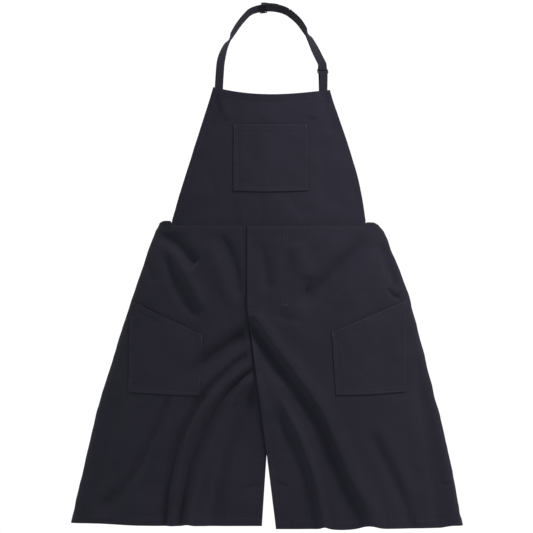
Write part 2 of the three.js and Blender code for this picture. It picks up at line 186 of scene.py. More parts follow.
def crumple(x, z, size, seed):
    """Smooth value noise from -1 to 1 with lumps of the given size, the same on every run."""
    lattice = np.random.RandomState(seed).uniform(-1, 1, (64, 64))
    u, v = np.asarray(x) / size + 17.3, np.asarray(z) / size + 41.7
    i, j = np.floor(u).astype(int), np.floor(v).astype(int)
    a, b = ease(0, 1, u - i), ease(0, 1, v - j)
    row0 = mix(lattice[i % 64, j % 64], lattice[(i + 1) % 64, j % 64], a)
    row1 = mix(lattice[i % 64, (j + 1) % 64], lattice[(i + 1) % 64, (j + 1) % 64], a)
    return mix(row0, row1, b)


def seam_pucker(along, away, height, pitch=0.011, reach=0.013):
    """The small ripples that a row of stitches pulls into the cloth beside it."""
    wobble = 0.4 * np.sin(along * 2 * math.pi / 0.047)
    return height * np.sin(along * 2 * math.pi / pitch + wobble * 4) * np.exp(-(away / reach) ** 2)


class Fold:
    """One fold: the line that it follows, its height, its width on either side, how soon it rises and dies
    away, as shares of its length, and how much it opens out from its start to its end."""

    def __init__(self, line, height, left, right, rises=0.22, dies=0.18, opens=1.0):
        line = np.array(line)
        for _ in range(3):
            cut = np.stack([0.75 * line[:-1] + 0.25 * line[1:], 0.25 * line[:-1] + 0.75 * line[1:]], 1)
            line = np.concatenate([line[:1], cut.reshape(-1, 2), line[-1:]])
        self.line, self.height, self.left, self.right = line, height, left, right
        self.rises, self.dies, self.opens = rises, dies, opens
        steps = np.linalg.norm(np.diff(line, axis=0), axis=1)
        self.travel = np.concatenate([[0], np.cumsum(steps)]) / steps.sum()

    def push(self, x, z):
        nearest, signed, where = np.full(x.shape, 9.0), np.zeros(x.shape), np.zeros(x.shape)
        for k in range(len(self.line) - 1):
            a, d = self.line[k], self.line[k + 1] - self.line[k]
            t = np.clip(((x - a[0]) * d[0] + (z - a[1]) * d[1]) / (d @ d), 0, 1)
            dx, dz = x - a[0] - t * d[0], z - a[1] - t * d[1]
            distance = np.hypot(dx, dz)
            closer = distance < nearest
            nearest = np.where(closer, distance, nearest)
            signed = np.where(closer, d[0] * dz - d[1] * dx, signed)
            where = np.where(closer, mix(self.travel[k], self.travel[k + 1], t), where)
        which_side = signed / (0.00002 + np.abs(signed)) * np.clip(nearest / 0.004, 0, 1)
        width = mix(self.left, self.right, ease(-1, 1, which_side))
        width = width * mix(2 / (1 + self.opens), 2 * self.opens / (1 + self.opens), where)
        fade = ease(0.0, self.rises, where) * (ease(0.0, self.dies, 1 - where) if self.dies else 1.0)
        return self.height * fade * np.exp(-(nearest / width) ** 2)


def folds(x, z, lines):
    """Forward push of a set of folds."""
    x, z = np.broadcast_arrays(np.asarray(x, float), np.asarray(z, float))
    return sum((fold.push(x, z) for fold in lines), np.zeros(x.shape))


def cloth(name, points, cut, material, worn=None, facing=1):
    """A closed sheet of cloth on a grid of points, (rows, columns, 3), that run downwards, and left to right
    where facing is 1 or right to left where it is -1. cut holds each point's place on the flat cloth, in
    metres, and worn how rubbed it is, from 0 to 1."""
    rows, columns = points.shape[:2]
    normal = np.cross(np.gradient(points, axis=0), np.gradient(points, axis=1)) * facing
    normal = normal / np.maximum(np.linalg.norm(normal, axis=-1, keepdims=True), 1e-12)
    layers = np.stack([points + normal * CLOTH, points]).reshape(-1, 3)
    index = np.arange(2 * rows * columns).reshape(2, rows, columns)
    front, back = index
    quads = np.stack([front[:-1, :-1], front[1:, :-1], front[1:, 1:], front[:-1, 1:]], -1).reshape(-1, 4)
    under = np.stack([back[:-1, :-1], back[:-1, 1:], back[1:, 1:], back[1:, :-1]], -1).reshape(-1, 4)
    ring_front = np.concatenate([front[0, :-1], front[:-1, -1], front[-1, :0:-1], front[:0:-1, 0]])
    ring_back = np.concatenate([back[0, :-1], back[:-1, -1], back[-1, :0:-1], back[:0:-1, 0]])
    rim = np.stack([ring_front, np.roll(ring_front, -1), np.roll(ring_back, -1), ring_back], -1)
    faces = np.concatenate([quads, under, rim])
    mesh = bpy.data.meshes.new(name)
    mesh.vertices.add(len(layers))
    mesh.vertices.foreach_set("co", layers.ravel())
    mesh.loops.add(faces.size)
    mesh.loops.foreach_set("vertex_index", faces.ravel())
    mesh.polygons.add(len(faces))
    mesh.polygons.foreach_set("loop_start", np.arange(0, faces.size, 4))
    mesh.polygons.foreach_set("loop_total", np.full(len(faces), 4))
    mesh.update(calc_edges=True)
    mesh.polygons.foreach_set("use_smooth", [True] * len(faces))
    uv = mesh.uv_layers.new(name="cut")
    flat = np.stack([cut, cut]).reshape(-1, 2)
    uv.data.foreach_set("uv", flat[faces.ravel()].ravel())
    rubbed = mesh.attributes.new("rubbed", "FLOAT", "POINT")
    worn = np.zeros((rows, columns)) if worn is None else worn
    rubbed.data.foreach_set("value", np.stack([worn, worn * 0.5]).ravel().astype(np.float32))
    if mesh_volume(mesh) < 0:
        mesh.flip_normals()
    mesh.materials.append(material)
    piece = bpy.data.objects.new(name, mesh)
    bpy.context.collection.objects.link(piece)
    return piece


def mesh_volume(mesh):
    """Signed volume of a closed mesh, below 0 where its faces point inwards."""
    co = np.empty(len(mesh.vertices) * 3)
    mesh.vertices.foreach_get("co", co)
    co = co.reshape(-1, 3)
    mesh.calc_loop_triangles()
    tri = np.empty(len(mesh.loop_triangles) * 3, int)
    mesh.loop_triangles.foreach_get("vertices", tri)
    a, b, c = (co[tri.reshape(-1, 3)[:, k]] for k in range(3))
    return float((a * np.cross(b, c)).sum() / 6)


class Nodes:
    """Short way to add and join shader nodes."""

    def __init__(self, name):
        self.material = bpy.data.materials.new(name)
        self.material.use_nodes = True
        self.tree = self.material.node_tree
        self.shader = self.tree.nodes["Principled BSDF"]

    def add(self, kind, inputs=(), **settings):
        node = self.tree.nodes.new(kind)
        for key, value in settings.items():
            setattr(node, key, value)
        for key, value in dict(inputs).items():
            if isinstance(value, bpy.types.NodeSocket):
                self.tree.links.new(value, node.inputs[key])
            else:
                node.inputs[key].default_value = value
        return node

    def maths(self, operation, a, b=0.0, c=0.0):
        return self.add("ShaderNodeMath", {0: a, 1: b, 2: c}, operation=operation).outputs[0]

    def noise(self, vector, scale, detail=2.0, roughness=0.5):
        inputs = {"Vector": vector, "Scale": scale, "Detail": detail, "Roughness": roughness}
        return self.add("ShaderNodeTexNoise", inputs).outputs["Fac"]

    def blend(self, factor, a, b):
        inputs = {"Factor": factor, 6: a, 7: b}
        return self.add("ShaderNodeMix", inputs, data_type="RGBA").outputs[2]

    def join(self, socket, value):
        self.tree.links.new(value, self.shader.inputs[socket])


def woven(name, dark, light, thread, slant, rough, relief):
    """A plain or twill weave of yarns a thread apart, with slubs, faded patches and rubbed edges."""
    n = Nodes(name)
    uv = n.add("ShaderNodeUVMap", uv_map="cut").outputs["UV"]
    place = n.add("ShaderNodeSeparateXYZ", {"Vector": uv})
    u, v = place.outputs["X"], place.outputs["Y"]
    turns = 2 * math.pi / thread
    wobble = n.maths("MULTIPLY", n.maths("SUBTRACT", n.noise(uv, 90.0), 0.5), 1.6)
    diagonal = n.maths("ADD", n.maths("MULTIPLY", u, turns), n.maths("MULTIPLY", v, turns * slant))
    twill = n.maths("SINE", n.maths("ADD", diagonal, wobble))
    weft = n.maths("SINE", n.maths("MULTIPLY", v, turns))
    weave = n.maths("MULTIPLY_ADD", weft, 0.35, twill)
    slubs = []
    for yarn_scale in ((900.0, 60.0, 1.0), (50.0, 800.0, 1.0)):
        along_yarn = n.add("ShaderNodeMapping", {"Vector": uv, "Scale": yarn_scale}).outputs[0]
        slubs.append(n.noise(along_yarn, 1.0, 3.0))
    slub = n.maths("ADD", *slubs)
    patches = n.noise(uv, 9.0, 4.0, 0.6)
    tone = n.maths("MULTIPLY_ADD", weave, 0.10, n.maths("MULTIPLY", slub, 0.42))
    tone = n.maths("MULTIPLY_ADD", patches, 0.35, tone)
    rubbed = n.add("ShaderNodeAttribute", attribute_name="rubbed").outputs["Fac"]
    speckle = n.noise(uv, 420.0, 2.0, 0.7)
    wear = n.maths("MULTIPLY", rubbed, n.maths("MULTIPLY_ADD", speckle, 1.6, -0.35))
    tone = n.maths("MULTIPLY_ADD", wear, 0.38, n.maths("SUBTRACT", tone, 0.1))
    tone_clamped = n.add("ShaderNodeClamp", {"Value": tone}).outputs[0]
    n.join("Base Color", n.blend(tone_clamped, (*dark, 1.0), (*light, 1.0)))
    n.shader.inputs["Roughness"].default_value = rough
    n.shader.inputs["Sheen Weight"].default_value = 0.03
    n.shader.inputs["Sheen Roughness"].default_value = 0.45
    n.shader.inputs["Sheen Tint"].default_value = (0.62, 0.62, 0.75, 1.0)
    n.shader.inputs["Specular IOR Level"].default_value = 0.10
    height = n.maths("MULTIPLY_ADD", slub, 0.8, weave)
    bump = n.add("ShaderNodeBump", {"Height": height, "Strength": 0.55, "Distance": relief})
    n.join("Normal", bump.outputs["Normal"])
    return n.material


canvas = woven("navy_canvas", (0.0037, 0.0039, 0.0064), (0.0122, 0.0128, 0.0205),
               thread=0.0011, slant=0.55, rough=0.90, relief=0.00022)

BIB_FOLDS = [
    Fold([(-0.118, -0.198), (-0.104, -0.222), (-0.092, -0.268)], 0.0030, 0.009, 0.016),
    Fold([(-0.112, -0.196), (-0.120, -0.235), (-0.134, -0.290)], -0.0022, 0.014, 0.010),
    Fold([(0.128, -0.204), (0.114, -0.226), (0.102, -0.266)], 0.0030, 0.016, 0.010),
    Fold([(0.124, -0.200), (0.134, -0.238), (0.150, -0.300)], -0.0025, 0.010, 0.014),
    Fold([(-0.090, -0.212), (0.000, -0.224), (0.095, -0.212)], -0.0018, 0.014, 0.020),
    Fold([(-0.210, -0.480), (-0.170, -0.440), (-0.120, -0.425)], 0.0026, 0.016, 0.024),
    Fold([(-0.075, -0.435), (-0.060, -0.470), (-0.058, -0.505)], 0.0022, 0.010, 0.016, dies=0),
    Fold([(-0.020, -0.432), (-0.012, -0.470), (-0.016, -0.505)], -0.0018, 0.012, 0.012, dies=0),
    Fold([(0.060, -0.430), (0.050, -0.455), (0.090, -0.490)], -0.0024, 0.012, 0.016),
    Fold([(0.100, -0.440), (0.130, -0.470), (0.180, -0.485)], 0.0024, 0.018, 0.014),
    Fold([(-0.150, -0.320), (-0.136, -0.400), (-0.128, -0.490)], -0.0022, 0.022, 0.018),
    Fold([(0.115, -0.290), (0.128, -0.380), (0.140, -0.480)], -0.0026, 0.014, 0.022),
    Fold([(0.165, -0.330), (0.172, -0.400), (0.190, -0.470)], 0.0020, 0.020, 0.016),
]


def bib_push(x, z):
    """Everything that lifts the bib off the smooth form: creases, crumples and puckers."""
    left, right = x - bib_edge(-1, z), bib_edge(1, z) - x
    push = folds(x, z, BIB_FOLDS)
    push = push + 0.0013 * crumple(x, z, 0.075, 3) + 0.0008 * crumple(x, z, 0.026, 4)
    for along, away in ((z, left), (z + 0.3, right)):
        push = push + seam_pucker(along, away - 0.008, 0.00012)
    push = push + seam_pucker(x, BIB_TOP - z, 0.0002, pitch=0.013)
    return push - 0.0011 * ease(WAIST_Z + 0.016, WAIST_Z + 0.001, z)


def turned(away, depth=0.010):
    """The step of a turned hem of the given depth, with its groove of stitches, from how far inside it is."""
    step = CLOTH * ease(depth + 0.0012, depth - 0.0006, away)
    groove = 0.0005 * np.exp(-((away - depth + 0.002) / 0.0011) ** 2)
    return step - groove


def hem_relief(hems):
    """Hem steps added up, but never more than one layer of cloth where two hems cross."""
    return np.clip(hems, -0.001, CLOTH)


def edge_wear(away, reach=0.0022):
    """How rubbed the cloth is, from 1 on a folded edge to 0 well inside it."""
    return np.exp(-(away / reach) ** 2)


def scoop(x):
    """Height of the bib's top edge, which dips in the middle and rises to both corners."""
    share = np.clip((x - BIB_SHIFT) / (2 * BIB_TOP_HALF) + 0.5, 0, 1)
    corner_rise = mix(LEFT_RISE, RIGHT_RISE, share) * (2 * share - 1) ** 2
    return BIB_TOP - TOP_SCOOP * np.sin(math.pi * share) + corner_rise


def flat_lengths(points):
    """Place of each grid point on the flat cloth, from lengths along its rows and columns."""
    across = np.linalg.norm(np.diff(points, axis=1), axis=-1)
    down = np.linalg.norm(np.diff(points, axis=0), axis=-1)
    u = np.concatenate([np.zeros((len(points), 1)), np.cumsum(across, 1)], 1)
    u = u - u[:, [u.shape[1] // 2]]
    v = np.concatenate([np.zeros((1, points.shape[1])), np.cumsum(down, 0)], 0)
    return np.stack([u, -v], -1)


def bib_surface(x, z, extra=0.0):
    """Points on the bib's back face, with its folds and hems, moved forward by extra."""
    left, right = x - bib_edge(-1, z), bib_edge(1, z) - x
    hems = turned(np.minimum(left, right)) + turned(scoop(x) - z, 0.014)
    return on_front(x, z, bib_push(x, z) + hem_relief(hems) + extra)


s, t = np.meshgrid(np.linspace(0, 1, 200), np.linspace(0, 1, 190))
rough_z = mix(BIB_TOP, WAIST_Z - SEAM_ALLOWANCE, t)
bib_x = mix(bib_edge(-1, rough_z), bib_edge(1, rough_z), s)
bib_z = mix(scoop(bib_x), WAIST_Z - SEAM_ALLOWANCE, t)
bib_points = bib_surface(bib_x, bib_z)
side_away = np.minimum(bib_x - bib_edge(-1, bib_z), bib_edge(1, bib_z) - bib_x)
bib_wear = edge_wear(np.minimum(side_away, scoop(bib_x) - bib_z))
bib = cloth("bib_panel_cloth", bib_points, flat_lengths(bib_points), canvas, worn=bib_wear)
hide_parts("bib_panel")
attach(bib, "upper")

# ---- facings inside the bib ----
# Strips of the same canvas turned to the inside: a shaped facing along the top edge, a narrow hem down each
# side, and a binding that covers the raw waist seam. All are held by the same rows of topstitching.
LAYER = 0.0012


def strip(name, surface, x, z, behind=LAYER, facing=1):
    """A strip of canvas that lies behind a surface, following all its folds."""
    points = surface(x, z, -behind - CLOTH)
    return cloth(name, points, flat_lengths(points), canvas, facing=facing)


s, t = np.meshgrid(np.linspace(0.14, 0.86, 110), np.linspace(0, 1, 14))
facing_x = mix(bib_edge(-1, BIB_TOP), bib_edge(1, BIB_TOP), s)
facing_z = mix(scoop(facing_x) - 0.0008, BIB_TOP - 0.026, t)
top_facing = strip("bib_top_facing_cloth", bib_surface, facing_x, facing_z)
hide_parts("bib_top_facing")
inside_pieces = [top_facing]
for word, side in (("left", -1), ("right", 1)):
    t, s = np.meshgrid(np.linspace(0, 1, 6), np.linspace(BIB_TOP - 0.036, WAIST_Z + 0.014, 120))
    hem_x = bib_edge(side, s) - side * mix(0.0006, 0.0115, t)
    side_hem = strip(f"bib_{word}_side_hem_cloth", bib_surface, hem_x, s, facing=-side)
    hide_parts(f"bib_{word}_side_hem")
    inside_pieces.append(side_hem)
s, t = np.meshgrid(np.linspace(-0.219, 0.219, 180), np.linspace(WAIST_Z + 0.012, WAIST_Z - 0.0115, 12))
binding = strip("waist_seam_binding_cloth", bib_surface, s, t, 2 * LAYER)
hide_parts("waist_seam_binding")
inside_pieces.append(binding)
for piece in inside_pieces:
    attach(piece, "upper")

# ---- leg panels ----
# Two wide canvas panels hang from the waist seam. Each runs from the split, across the front and round the
# wearer's side to a hemmed back edge. The right one laps over the left and they are sewn together at the top.
FRONT_TURN = 0.024
FLAP = 0.080
FLAP_HEADING = math.radians(165)
LAP_AT_WAIST = 0.0022
LAP_BELOW = 0.0055
PLACKET_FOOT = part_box("placket_facing")[0][2] - 0.002
HEM = 0.020
LEG_TOP_HALF = 0.2555
LEG_SPREAD = 0.264
LEG_BOW = 0.064
LEFT_HEM_Z = -1.1975
RIGHT_HEM_Z = -1.2045
GRID_FOOT = -1.195

LEFT_FOLDS = [
    Fold([(-0.258, -0.512), (-0.228, -0.530), (-0.195, -0.572), (-0.164, -0.603)],
         -0.0120, 0.018, 0.018, dies=0.12),
    Fold([(-0.250, -0.552), (-0.230, -0.596), (-0.214, -0.645), (-0.184, -0.695), (-0.150, -0.724)],
         -0.0085, 0.014, 0.018),
    Fold([(-0.232, -0.548), (-0.200, -0.600), (-0.170, -0.652), (-0.146, -0.712)], 0.0085, 0.015, 0.014),
    Fold([(-0.118, -0.515), (-0.094, -0.560), (-0.074, -0.610), (-0.054, -0.690)], -0.0070, 0.020, 0.012),
    Fold([(-0.140, -0.530), (-0.122, -0.590), (-0.098, -0.650), (-0.070, -0.700)], 0.0045, 0.018, 0.018),
    Fold([(-0.296, -0.590), (-0.276, -0.612), (-0.262, -0.640)], -0.0030, 0.010, 0.014),
    Fold([(0.000, -0.725), (-0.045, -0.748), (-0.084, -0.773), (-0.130, -0.808), (-0.170, -0.842),
          (-0.212, -0.880)],
         -0.0190, 0.016, 0.020, rises=0.05, dies=0.4, opens=1.3),
    Fold([(0.000, -0.765), (-0.048, -0.795), (-0.095, -0.832), (-0.135, -0.872), (-0.162, -0.915)],
         0.0085, 0.014, 0.012, rises=0.05, dies=0.4, opens=1.3),
    Fold([(0.005, -0.765), (-0.048, -0.800), (-0.124, -0.863), (-0.175, -0.938), (-0.213, -1.022),
          (-0.229, -1.092), (-0.238, -1.195)],
         -0.0120, 0.012, 0.010, rises=0.05, dies=0, opens=1.7),
    Fold([(0.000, -0.795), (-0.040, -0.822), (-0.108, -0.880), (-0.146, -0.930), (-0.192, -1.015),
          (-0.214, -1.090), (-0.224, -1.195)],
         0.0110, 0.009, 0.008, rises=0.05, dies=0, opens=1.5),
    Fold([(0.000, -0.805), (-0.034, -0.835), (-0.094, -0.890), (-0.124, -0.930), (-0.165, -1.015),
          (-0.190, -1.085), (-0.205, -1.195)],
         -0.0080, 0.007, 0.006, rises=0.05, dies=0, opens=1.5),
    Fold([(0.000, -0.812), (-0.026, -0.842), (-0.078, -0.900), (-0.106, -0.945), (-0.140, -1.015),
          (-0.168, -1.090), (-0.186, -1.195)],
         0.0110, 0.009, 0.010, rises=0.05, dies=0, opens=1.5),
    Fold([(0.000, -0.832), (-0.022, -0.870), (-0.058, -0.928), (-0.086, -0.985), (-0.112, -1.060),
          (-0.130, -1.195)],
         -0.0110, 0.012, 0.020, rises=0.05, dies=0, opens=1.5),
    Fold([(-0.226, -0.880), (-0.244, -0.940), (-0.276, -1.010), (-0.306, -1.072), (-0.345, -1.125),
          (-0.405, -1.168)],
         -0.0078, 0.011, 0.018, rises=0.15, dies=0.12, opens=1.5),
    Fold([(-0.214, -0.885), (-0.232, -0.950), (-0.262, -1.020), (-0.292, -1.085), (-0.330, -1.140)],
         0.0050, 0.010, 0.012, rises=0.2, dies=0.2),
    Fold([(-0.018, -0.860), (-0.012, -0.930), (-0.006, -0.995)], -0.0080, 0.012, 0.014),
    Fold([(-0.016, -1.106), (-0.036, -1.104), (-0.056, -1.112)], -0.0022, 0.003, 0.005),
    Fold([(-0.338, -0.860), (-0.362, -0.960), (-0.392, -1.060), (-0.424, -1.180)],
         -0.0080, 0.024, 0.018, dies=0),
]
RIGHT_FOLDS = [
    Fold([(-0.046, -0.715), (-0.034, -0.745), (0.000, -0.794), (0.038, -0.850), (0.078, -0.908),
          (0.110, -0.962), (0.136, -1.030), (0.164, -1.098), (0.198, -1.160), (0.210, -1.200)],
         -0.0148, 0.027, 0.013, rises=0.06, dies=0, opens=1.6),
    Fold([(-0.040, -0.700), (-0.012, -0.745), (0.034, -0.808), (0.084, -0.870), (0.130, -0.940),
          (0.160, -1.010), (0.192, -1.090), (0.228, -1.150), (0.240, -1.200)],
         0.0100, 0.009, 0.022, rises=0.06, dies=0, opens=1.5),
    Fold([(0.016, -0.880), (0.046, -0.938), (0.074, -0.990), (0.100, -1.055), (0.118, -1.120),
          (0.130, -1.200)],
         0.0110, 0.010, 0.009, rises=0.25, dies=0, opens=1.3),
    Fold([(0.004, -0.905), (0.030, -0.960), (0.058, -1.020), (0.080, -1.080), (0.096, -1.150),
          (0.100, -1.200)],
         -0.0085, 0.022, 0.010, rises=0.25, dies=0, opens=1.5),
    Fold([(-0.028, -0.842), (-0.014, -0.900), (0.002, -0.960)], 0.0045, 0.010, 0.010),
    Fold([(0.214, -0.945), (0.246, -1.005), (0.276, -1.062), (0.304, -1.122), (0.330, -1.196)],
         -0.0070, 0.016, 0.011, rises=0.4, dies=0),
    Fold([(0.250, -0.960), (0.276, -1.015), (0.304, -1.075), (0.338, -1.150)], 0.0045, 0.012, 0.020),
    Fold([(0.066, -0.660), (0.094, -0.668), (0.120, -0.658), (0.150, -0.628), (0.190, -0.580),
          (0.246, -0.522)],
         -0.0160, 0.026, 0.024, rises=0.10, dies=0.35, opens=0.8),
    Fold([(0.062, -0.540), (0.074, -0.590), (0.092, -0.634)], 0.0060, 0.022, 0.022),
    Fold([(0.130, -0.690), (0.168, -0.668), (0.206, -0.620), (0.244, -0.560)], 0.0050, 0.018, 0.020),
    Fold([(0.012, -0.705), (0.040, -0.722), (0.086, -0.728)], -0.0032, 0.008, 0.014),
    Fold([(0.258, -0.540), (0.278, -0.600), (0.300, -0.655)], -0.0070, 0.012, 0.016, dies=0.1),
    Fold([(0.274, -0.650), (0.290, -0.672), (0.306, -0.674)], -0.0060, 0.005, 0.007),
    Fold([(0.345, -0.800), (0.362, -0.930), (0.384, -1.060), (0.400, -1.190)],
         -0.0090, 0.022, 0.024, dies=0),
    Fold([(0.012, -1.090), (0.028, -1.103), (0.046, -1.104)], -0.0024, 0.003, 0.005),
    Fold([(0.396, -1.102), (0.412, -1.106), (0.430, -1.100)], -0.0026, 0.004, 0.005),
    Fold([(-0.020, -0.540), (-0.006, -0.600), (-0.002, -0.660)], -0.0045, 0.014, 0.010),
    Fold([(0.018, -0.530), (0.022, -0.580), (0.014, -0.650)], 0.0030, 0.012, 0.014),
]


def half_width(side, z):
    """Half the skirt's width at a height: it flares less and less, and the two sides differ a little."""
    t = drop(z)
    width = LEG_TOP_HALF + LEG_SPREAD * t - LEG_BOW * t * t - side * 0.006 * t
    if side < 0:
        return width - 0.0095 * np.abs(t) ** 0.8 - 0.004 * ease(-0.525, -0.497, z)
    hip = 0.0105 * np.exp(-((t - 0.20) / 0.24) ** 2) - 0.004 * t * t
    return width + hip - 0.009 * ease(-0.525, -0.497, z)


SPLIT_STATIONS = {
    -1: ((-1.22, -0.016), (-1.192, -0.015), (-1.012, -0.003), (PLACKET_FOOT, 0.045), (WAIST_Z, 0.045)),
    1: ((-1.22, 0.019), (-1.192, 0.017), (-1.012, -0.006), (-0.814, -0.033), (PLACKET_FOOT, -0.049),
        (WAIST_Z, -0.049)),
}


def split_edge(side, z):
    """Where a panel's inner edge is: the two overlap down to the placket's foot and part below the crotch."""
    heights, places = zip(*SPLIT_STATIONS[side])
    return np.interp(z, heights, places)


def turn(side, z):
    """Where the panel starts to turn round the side, its radius, its heading there and how far it goes on."""
    radius = FRONT_TURN + 0.016 * drop(z)
    outer = half_width(side, z)
    slope = np.abs(front_y(side * (outer + 0.0005), z) - front_y(side * (outer - 0.0005), z)) / 0.001
    heading = np.arctan(slope)
    start = outer - radius * (1 - np.sin(heading))
    return start, radius, heading, radius * (FLAP_HEADING - heading) + FLAP + 0.060 * drop(z)


def back_edge(side, z):
    """How far out a panel's back edge is, counted round the side."""
    start, _, _, beyond = turn(side, z)
    return start + beyond


def raw_push(side, x, z):
    """Folds and crumples of one panel, which die away at the waist seam."""
    lines = LEFT_FOLDS if side < 0 else RIGHT_FOLDS
    push = folds(x, z, lines)
    grow = 0.4 + 0.6 * drop(z)
    push = push + 0.0024 * grow * crumple(x, z, 0.085, 11 + side) + 0.0013 * crumple(x, z, 0.034, 21 + side)
    push = push + 0.0004 * crumple(x, z, 0.014, 31 + side)
    fade = ease(0.0, 0.035, WAIST_Z - z)
    return push * fade


def leg_push(side, x, z):
    """Everything that lifts a leg panel off the smooth form, so that the lap never crosses itself."""
    lap_share = ease(-0.024, -0.004, x - split_edge(1, z)) * ease(-1.075, -1.010, z)
    if side < 0:
        push = mix(raw_push(-1, x, z), raw_push(1, x, z), lap_share)
    else:
        lap = mix(LAP_BELOW, LAP_AT_WAIST, ease(-0.705, -0.600, z))
        push = raw_push(1, x, z) + lap * (1 - ease(0.046, 0.130, x))
    start, _, _, beyond = turn(side, z)
    round_side = np.clip((side * x - start) / beyond, 0, 1)
    flutes = 0.0075 * drop(z) * np.sin(round_side * 2 * math.pi * 1.6 + 0.6) * ease(0.02, 0.4, round_side)
    hang = hem_z(side, x) - z
    uneven = 0.5 + 0.5 * crumple(x, z, 0.040, 53)
    waist_ripple = uneven * seam_pucker(x, WAIST_Z - 0.008 - z, 0.0006, pitch=0.015)
    hem_ripple = uneven * seam_pucker(x, hang + HEM, 0.0007, pitch=0.017)
    edge_ripple = uneven * seam_pucker(z, (x - split_edge(side, z)) * side - 0.010, 0.0006, pitch=0.016)
    return push + flutes + waist_ripple + hem_ripple + edge_ripple


def hem_z(side, x):
    """Height of a panel's hem, which waves where folds reach it."""
    out = side * x
    if side < 0:
        return LEFT_HEM_Z + 0.0030 * ease(0.300, 0.400, out) + 0.0025 * np.exp(-((out - 0.187) / 0.010) ** 2)
    waves = 0.0040 * np.exp(-((out - 0.130) / 0.010) ** 2) + 0.0060 * np.exp(-((out - 0.232) / 0.020) ** 2)
    dip = 0.0020 * np.exp(-((out - 0.170) / 0.030) ** 2)
    return RIGHT_HEM_Z - dip + waves + 0.0040 * ease(0.395, 0.430, out)


def waist_top(x):
    """Height of the panels' top edge, which rises beside the bib and drops again at the very side."""
    out = np.abs(x)
    rise = np.where(x < 0, 0.0120, 0.0085) * ease(0.2185, 0.2275, out)
    return WAIST_Z + rise - 0.0065 * ease(0.2380, 0.2640, out)


def leg_surface(side, x, z, extra=0.0):
    """Points on a leg panel. x is straight across as far as the turn, and then the way round it."""
    x, z = np.broadcast_arrays(np.asarray(x, float), np.asarray(z, float))
    start, radius, heading, beyond = turn(side, z)
    past = np.maximum(side * x - start, 0)
    angle = np.minimum(heading + past / radius, FLAP_HEADING)
    flap = np.maximum(past - radius * (FLAP_HEADING - heading), 0)
    front_x = side * np.minimum(side * x, start)
    base = on_front(front_x, z, 0.0)
    outwards = radius * (np.sin(angle) - np.sin(heading)) + flap * math.cos(FLAP_HEADING)
    turned_x = base[..., 0] + side * outwards
    turned_y = base[..., 1] - radius * (np.cos(angle) - np.cos(heading)) + flap * math.sin(FLAP_HEADING)
    on_turn = past > 0
    around = np.stack([side * np.sin(angle), -np.cos(angle), np.zeros_like(angle)], -1)
    normal = np.where(on_turn[..., None], around, front_normal(front_x, z))
    body = np.where(on_turn[..., None], np.stack([turned_x, turned_y, z], -1), base)
    away = np.minimum((x - split_edge(side, z)) * side, beyond + start - side * x)
    hems = turned(away, 0.012) + turned(z - hem_z(side, x), HEM) - 0.0003 * ease(0.003, 0.0, waist_top(x) - z)
    lift = leg_push(side, x, z) + hem_relief(hems) + extra
    return body + normal * lift[..., None]


def left_leg(x, z, extra=0.0):
    return leg_surface(-1, x, z, extra)


def right_leg(x, z, extra=0.0):
    return leg_surface(1, x, z, extra)


LEG_SIDES = (("left", -1, left_leg), ("right", 1, right_leg))
for word, side, surface in LEG_SIDES:
    s, t = np.meshgrid(np.linspace(0, 1, 230), np.linspace(0, 1, 200))
    level = mix(WAIST_Z, GRID_FOOT, t)
    reach = back_edge(side, level)
    x = mix(split_edge(side, level), side * reach, s)
    z = mix(waist_top(x), hem_z(side, x), t)
    points = surface(x, z)
    edge_away = np.minimum((x - split_edge(side, z)) * side, reach - side * x)
    leg_wear = edge_wear(np.minimum(edge_away, z - hem_z(side, x)), 0.0025)
    panel = cloth(f"{word}_leg_cloth", points, flat_lengths(points), canvas, leg_wear, side)
    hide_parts(f"{word}_leg_top", f"{word}_leg_panel")
    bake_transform(panel)

    hem_u, hem_v = np.meshgrid(np.linspace(0.004, 0.996, 200), np.linspace(0, 1, 10))
    hem_x = mix(split_edge(side, -1.19), side * back_edge(side, -1.18), hem_u)
    hem_level = hem_z(side, hem_x) + mix(HEM - 0.001, 0.001, hem_v)
    hem = strip(f"{word}_leg_hem_cloth", surface, hem_x, hem_level, facing=side)
    split_down = np.linspace(PLACKET_FOOT - 0.03, -1.169, 150)
    edge_u, edge_v = np.meshgrid(np.linspace(0.0008, 0.0125, 6), split_down)
    edge_x = split_edge(side, edge_v) + side * edge_u
    split_hem = strip(f"{word}_split_edge_hem_cloth", surface, edge_x, edge_v, facing=side)
    back_down = np.linspace(WAIST_Z - 0.006, -1.168, 180)
    back_u, back_v = np.meshgrid(np.linspace(0.0125, 0.0008, 6), back_down)
    back_x = side * (back_edge(side, back_v) - back_u)
    back_hem = strip(f"{word}_back_edge_hem_cloth", surface, back_x, back_v, facing=side)
    for piece, node in ((hem, "leg_hem"), (split_hem, "split_edge_hem"), (back_hem, "back_edge_hem")):
        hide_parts(f"{word}_{node}")
        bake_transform(piece)

# ---- placket facing ----
# A strip of canvas behind the lap, caught by the twin rows of stitches that join the two panels.
s, t = np.meshgrid(np.linspace(-0.044, 0.041, 50), np.linspace(WAIST_Z - 0.013, PLACKET_FOOT + 0.002, 70))
placket = strip("placket_facing_cloth", left_leg, s, t, 2 * LAYER)
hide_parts("placket_facing")
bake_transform(placket)

# ---- patch pockets ----
# Single canvas patches, turned in on every side and sewn down on three. The chest pocket is almost square;
# the hip pockets have slanted mouths. Each mouth has a deeper hem and stands a little away from the panel.
POCKET_STAND = 0.0030
POCKET_CUT_AT = 0.37
POCKET_ROWS = (0.0022, 0.0085)
MOUTH_ROWS = (0.0022, 0.0120)


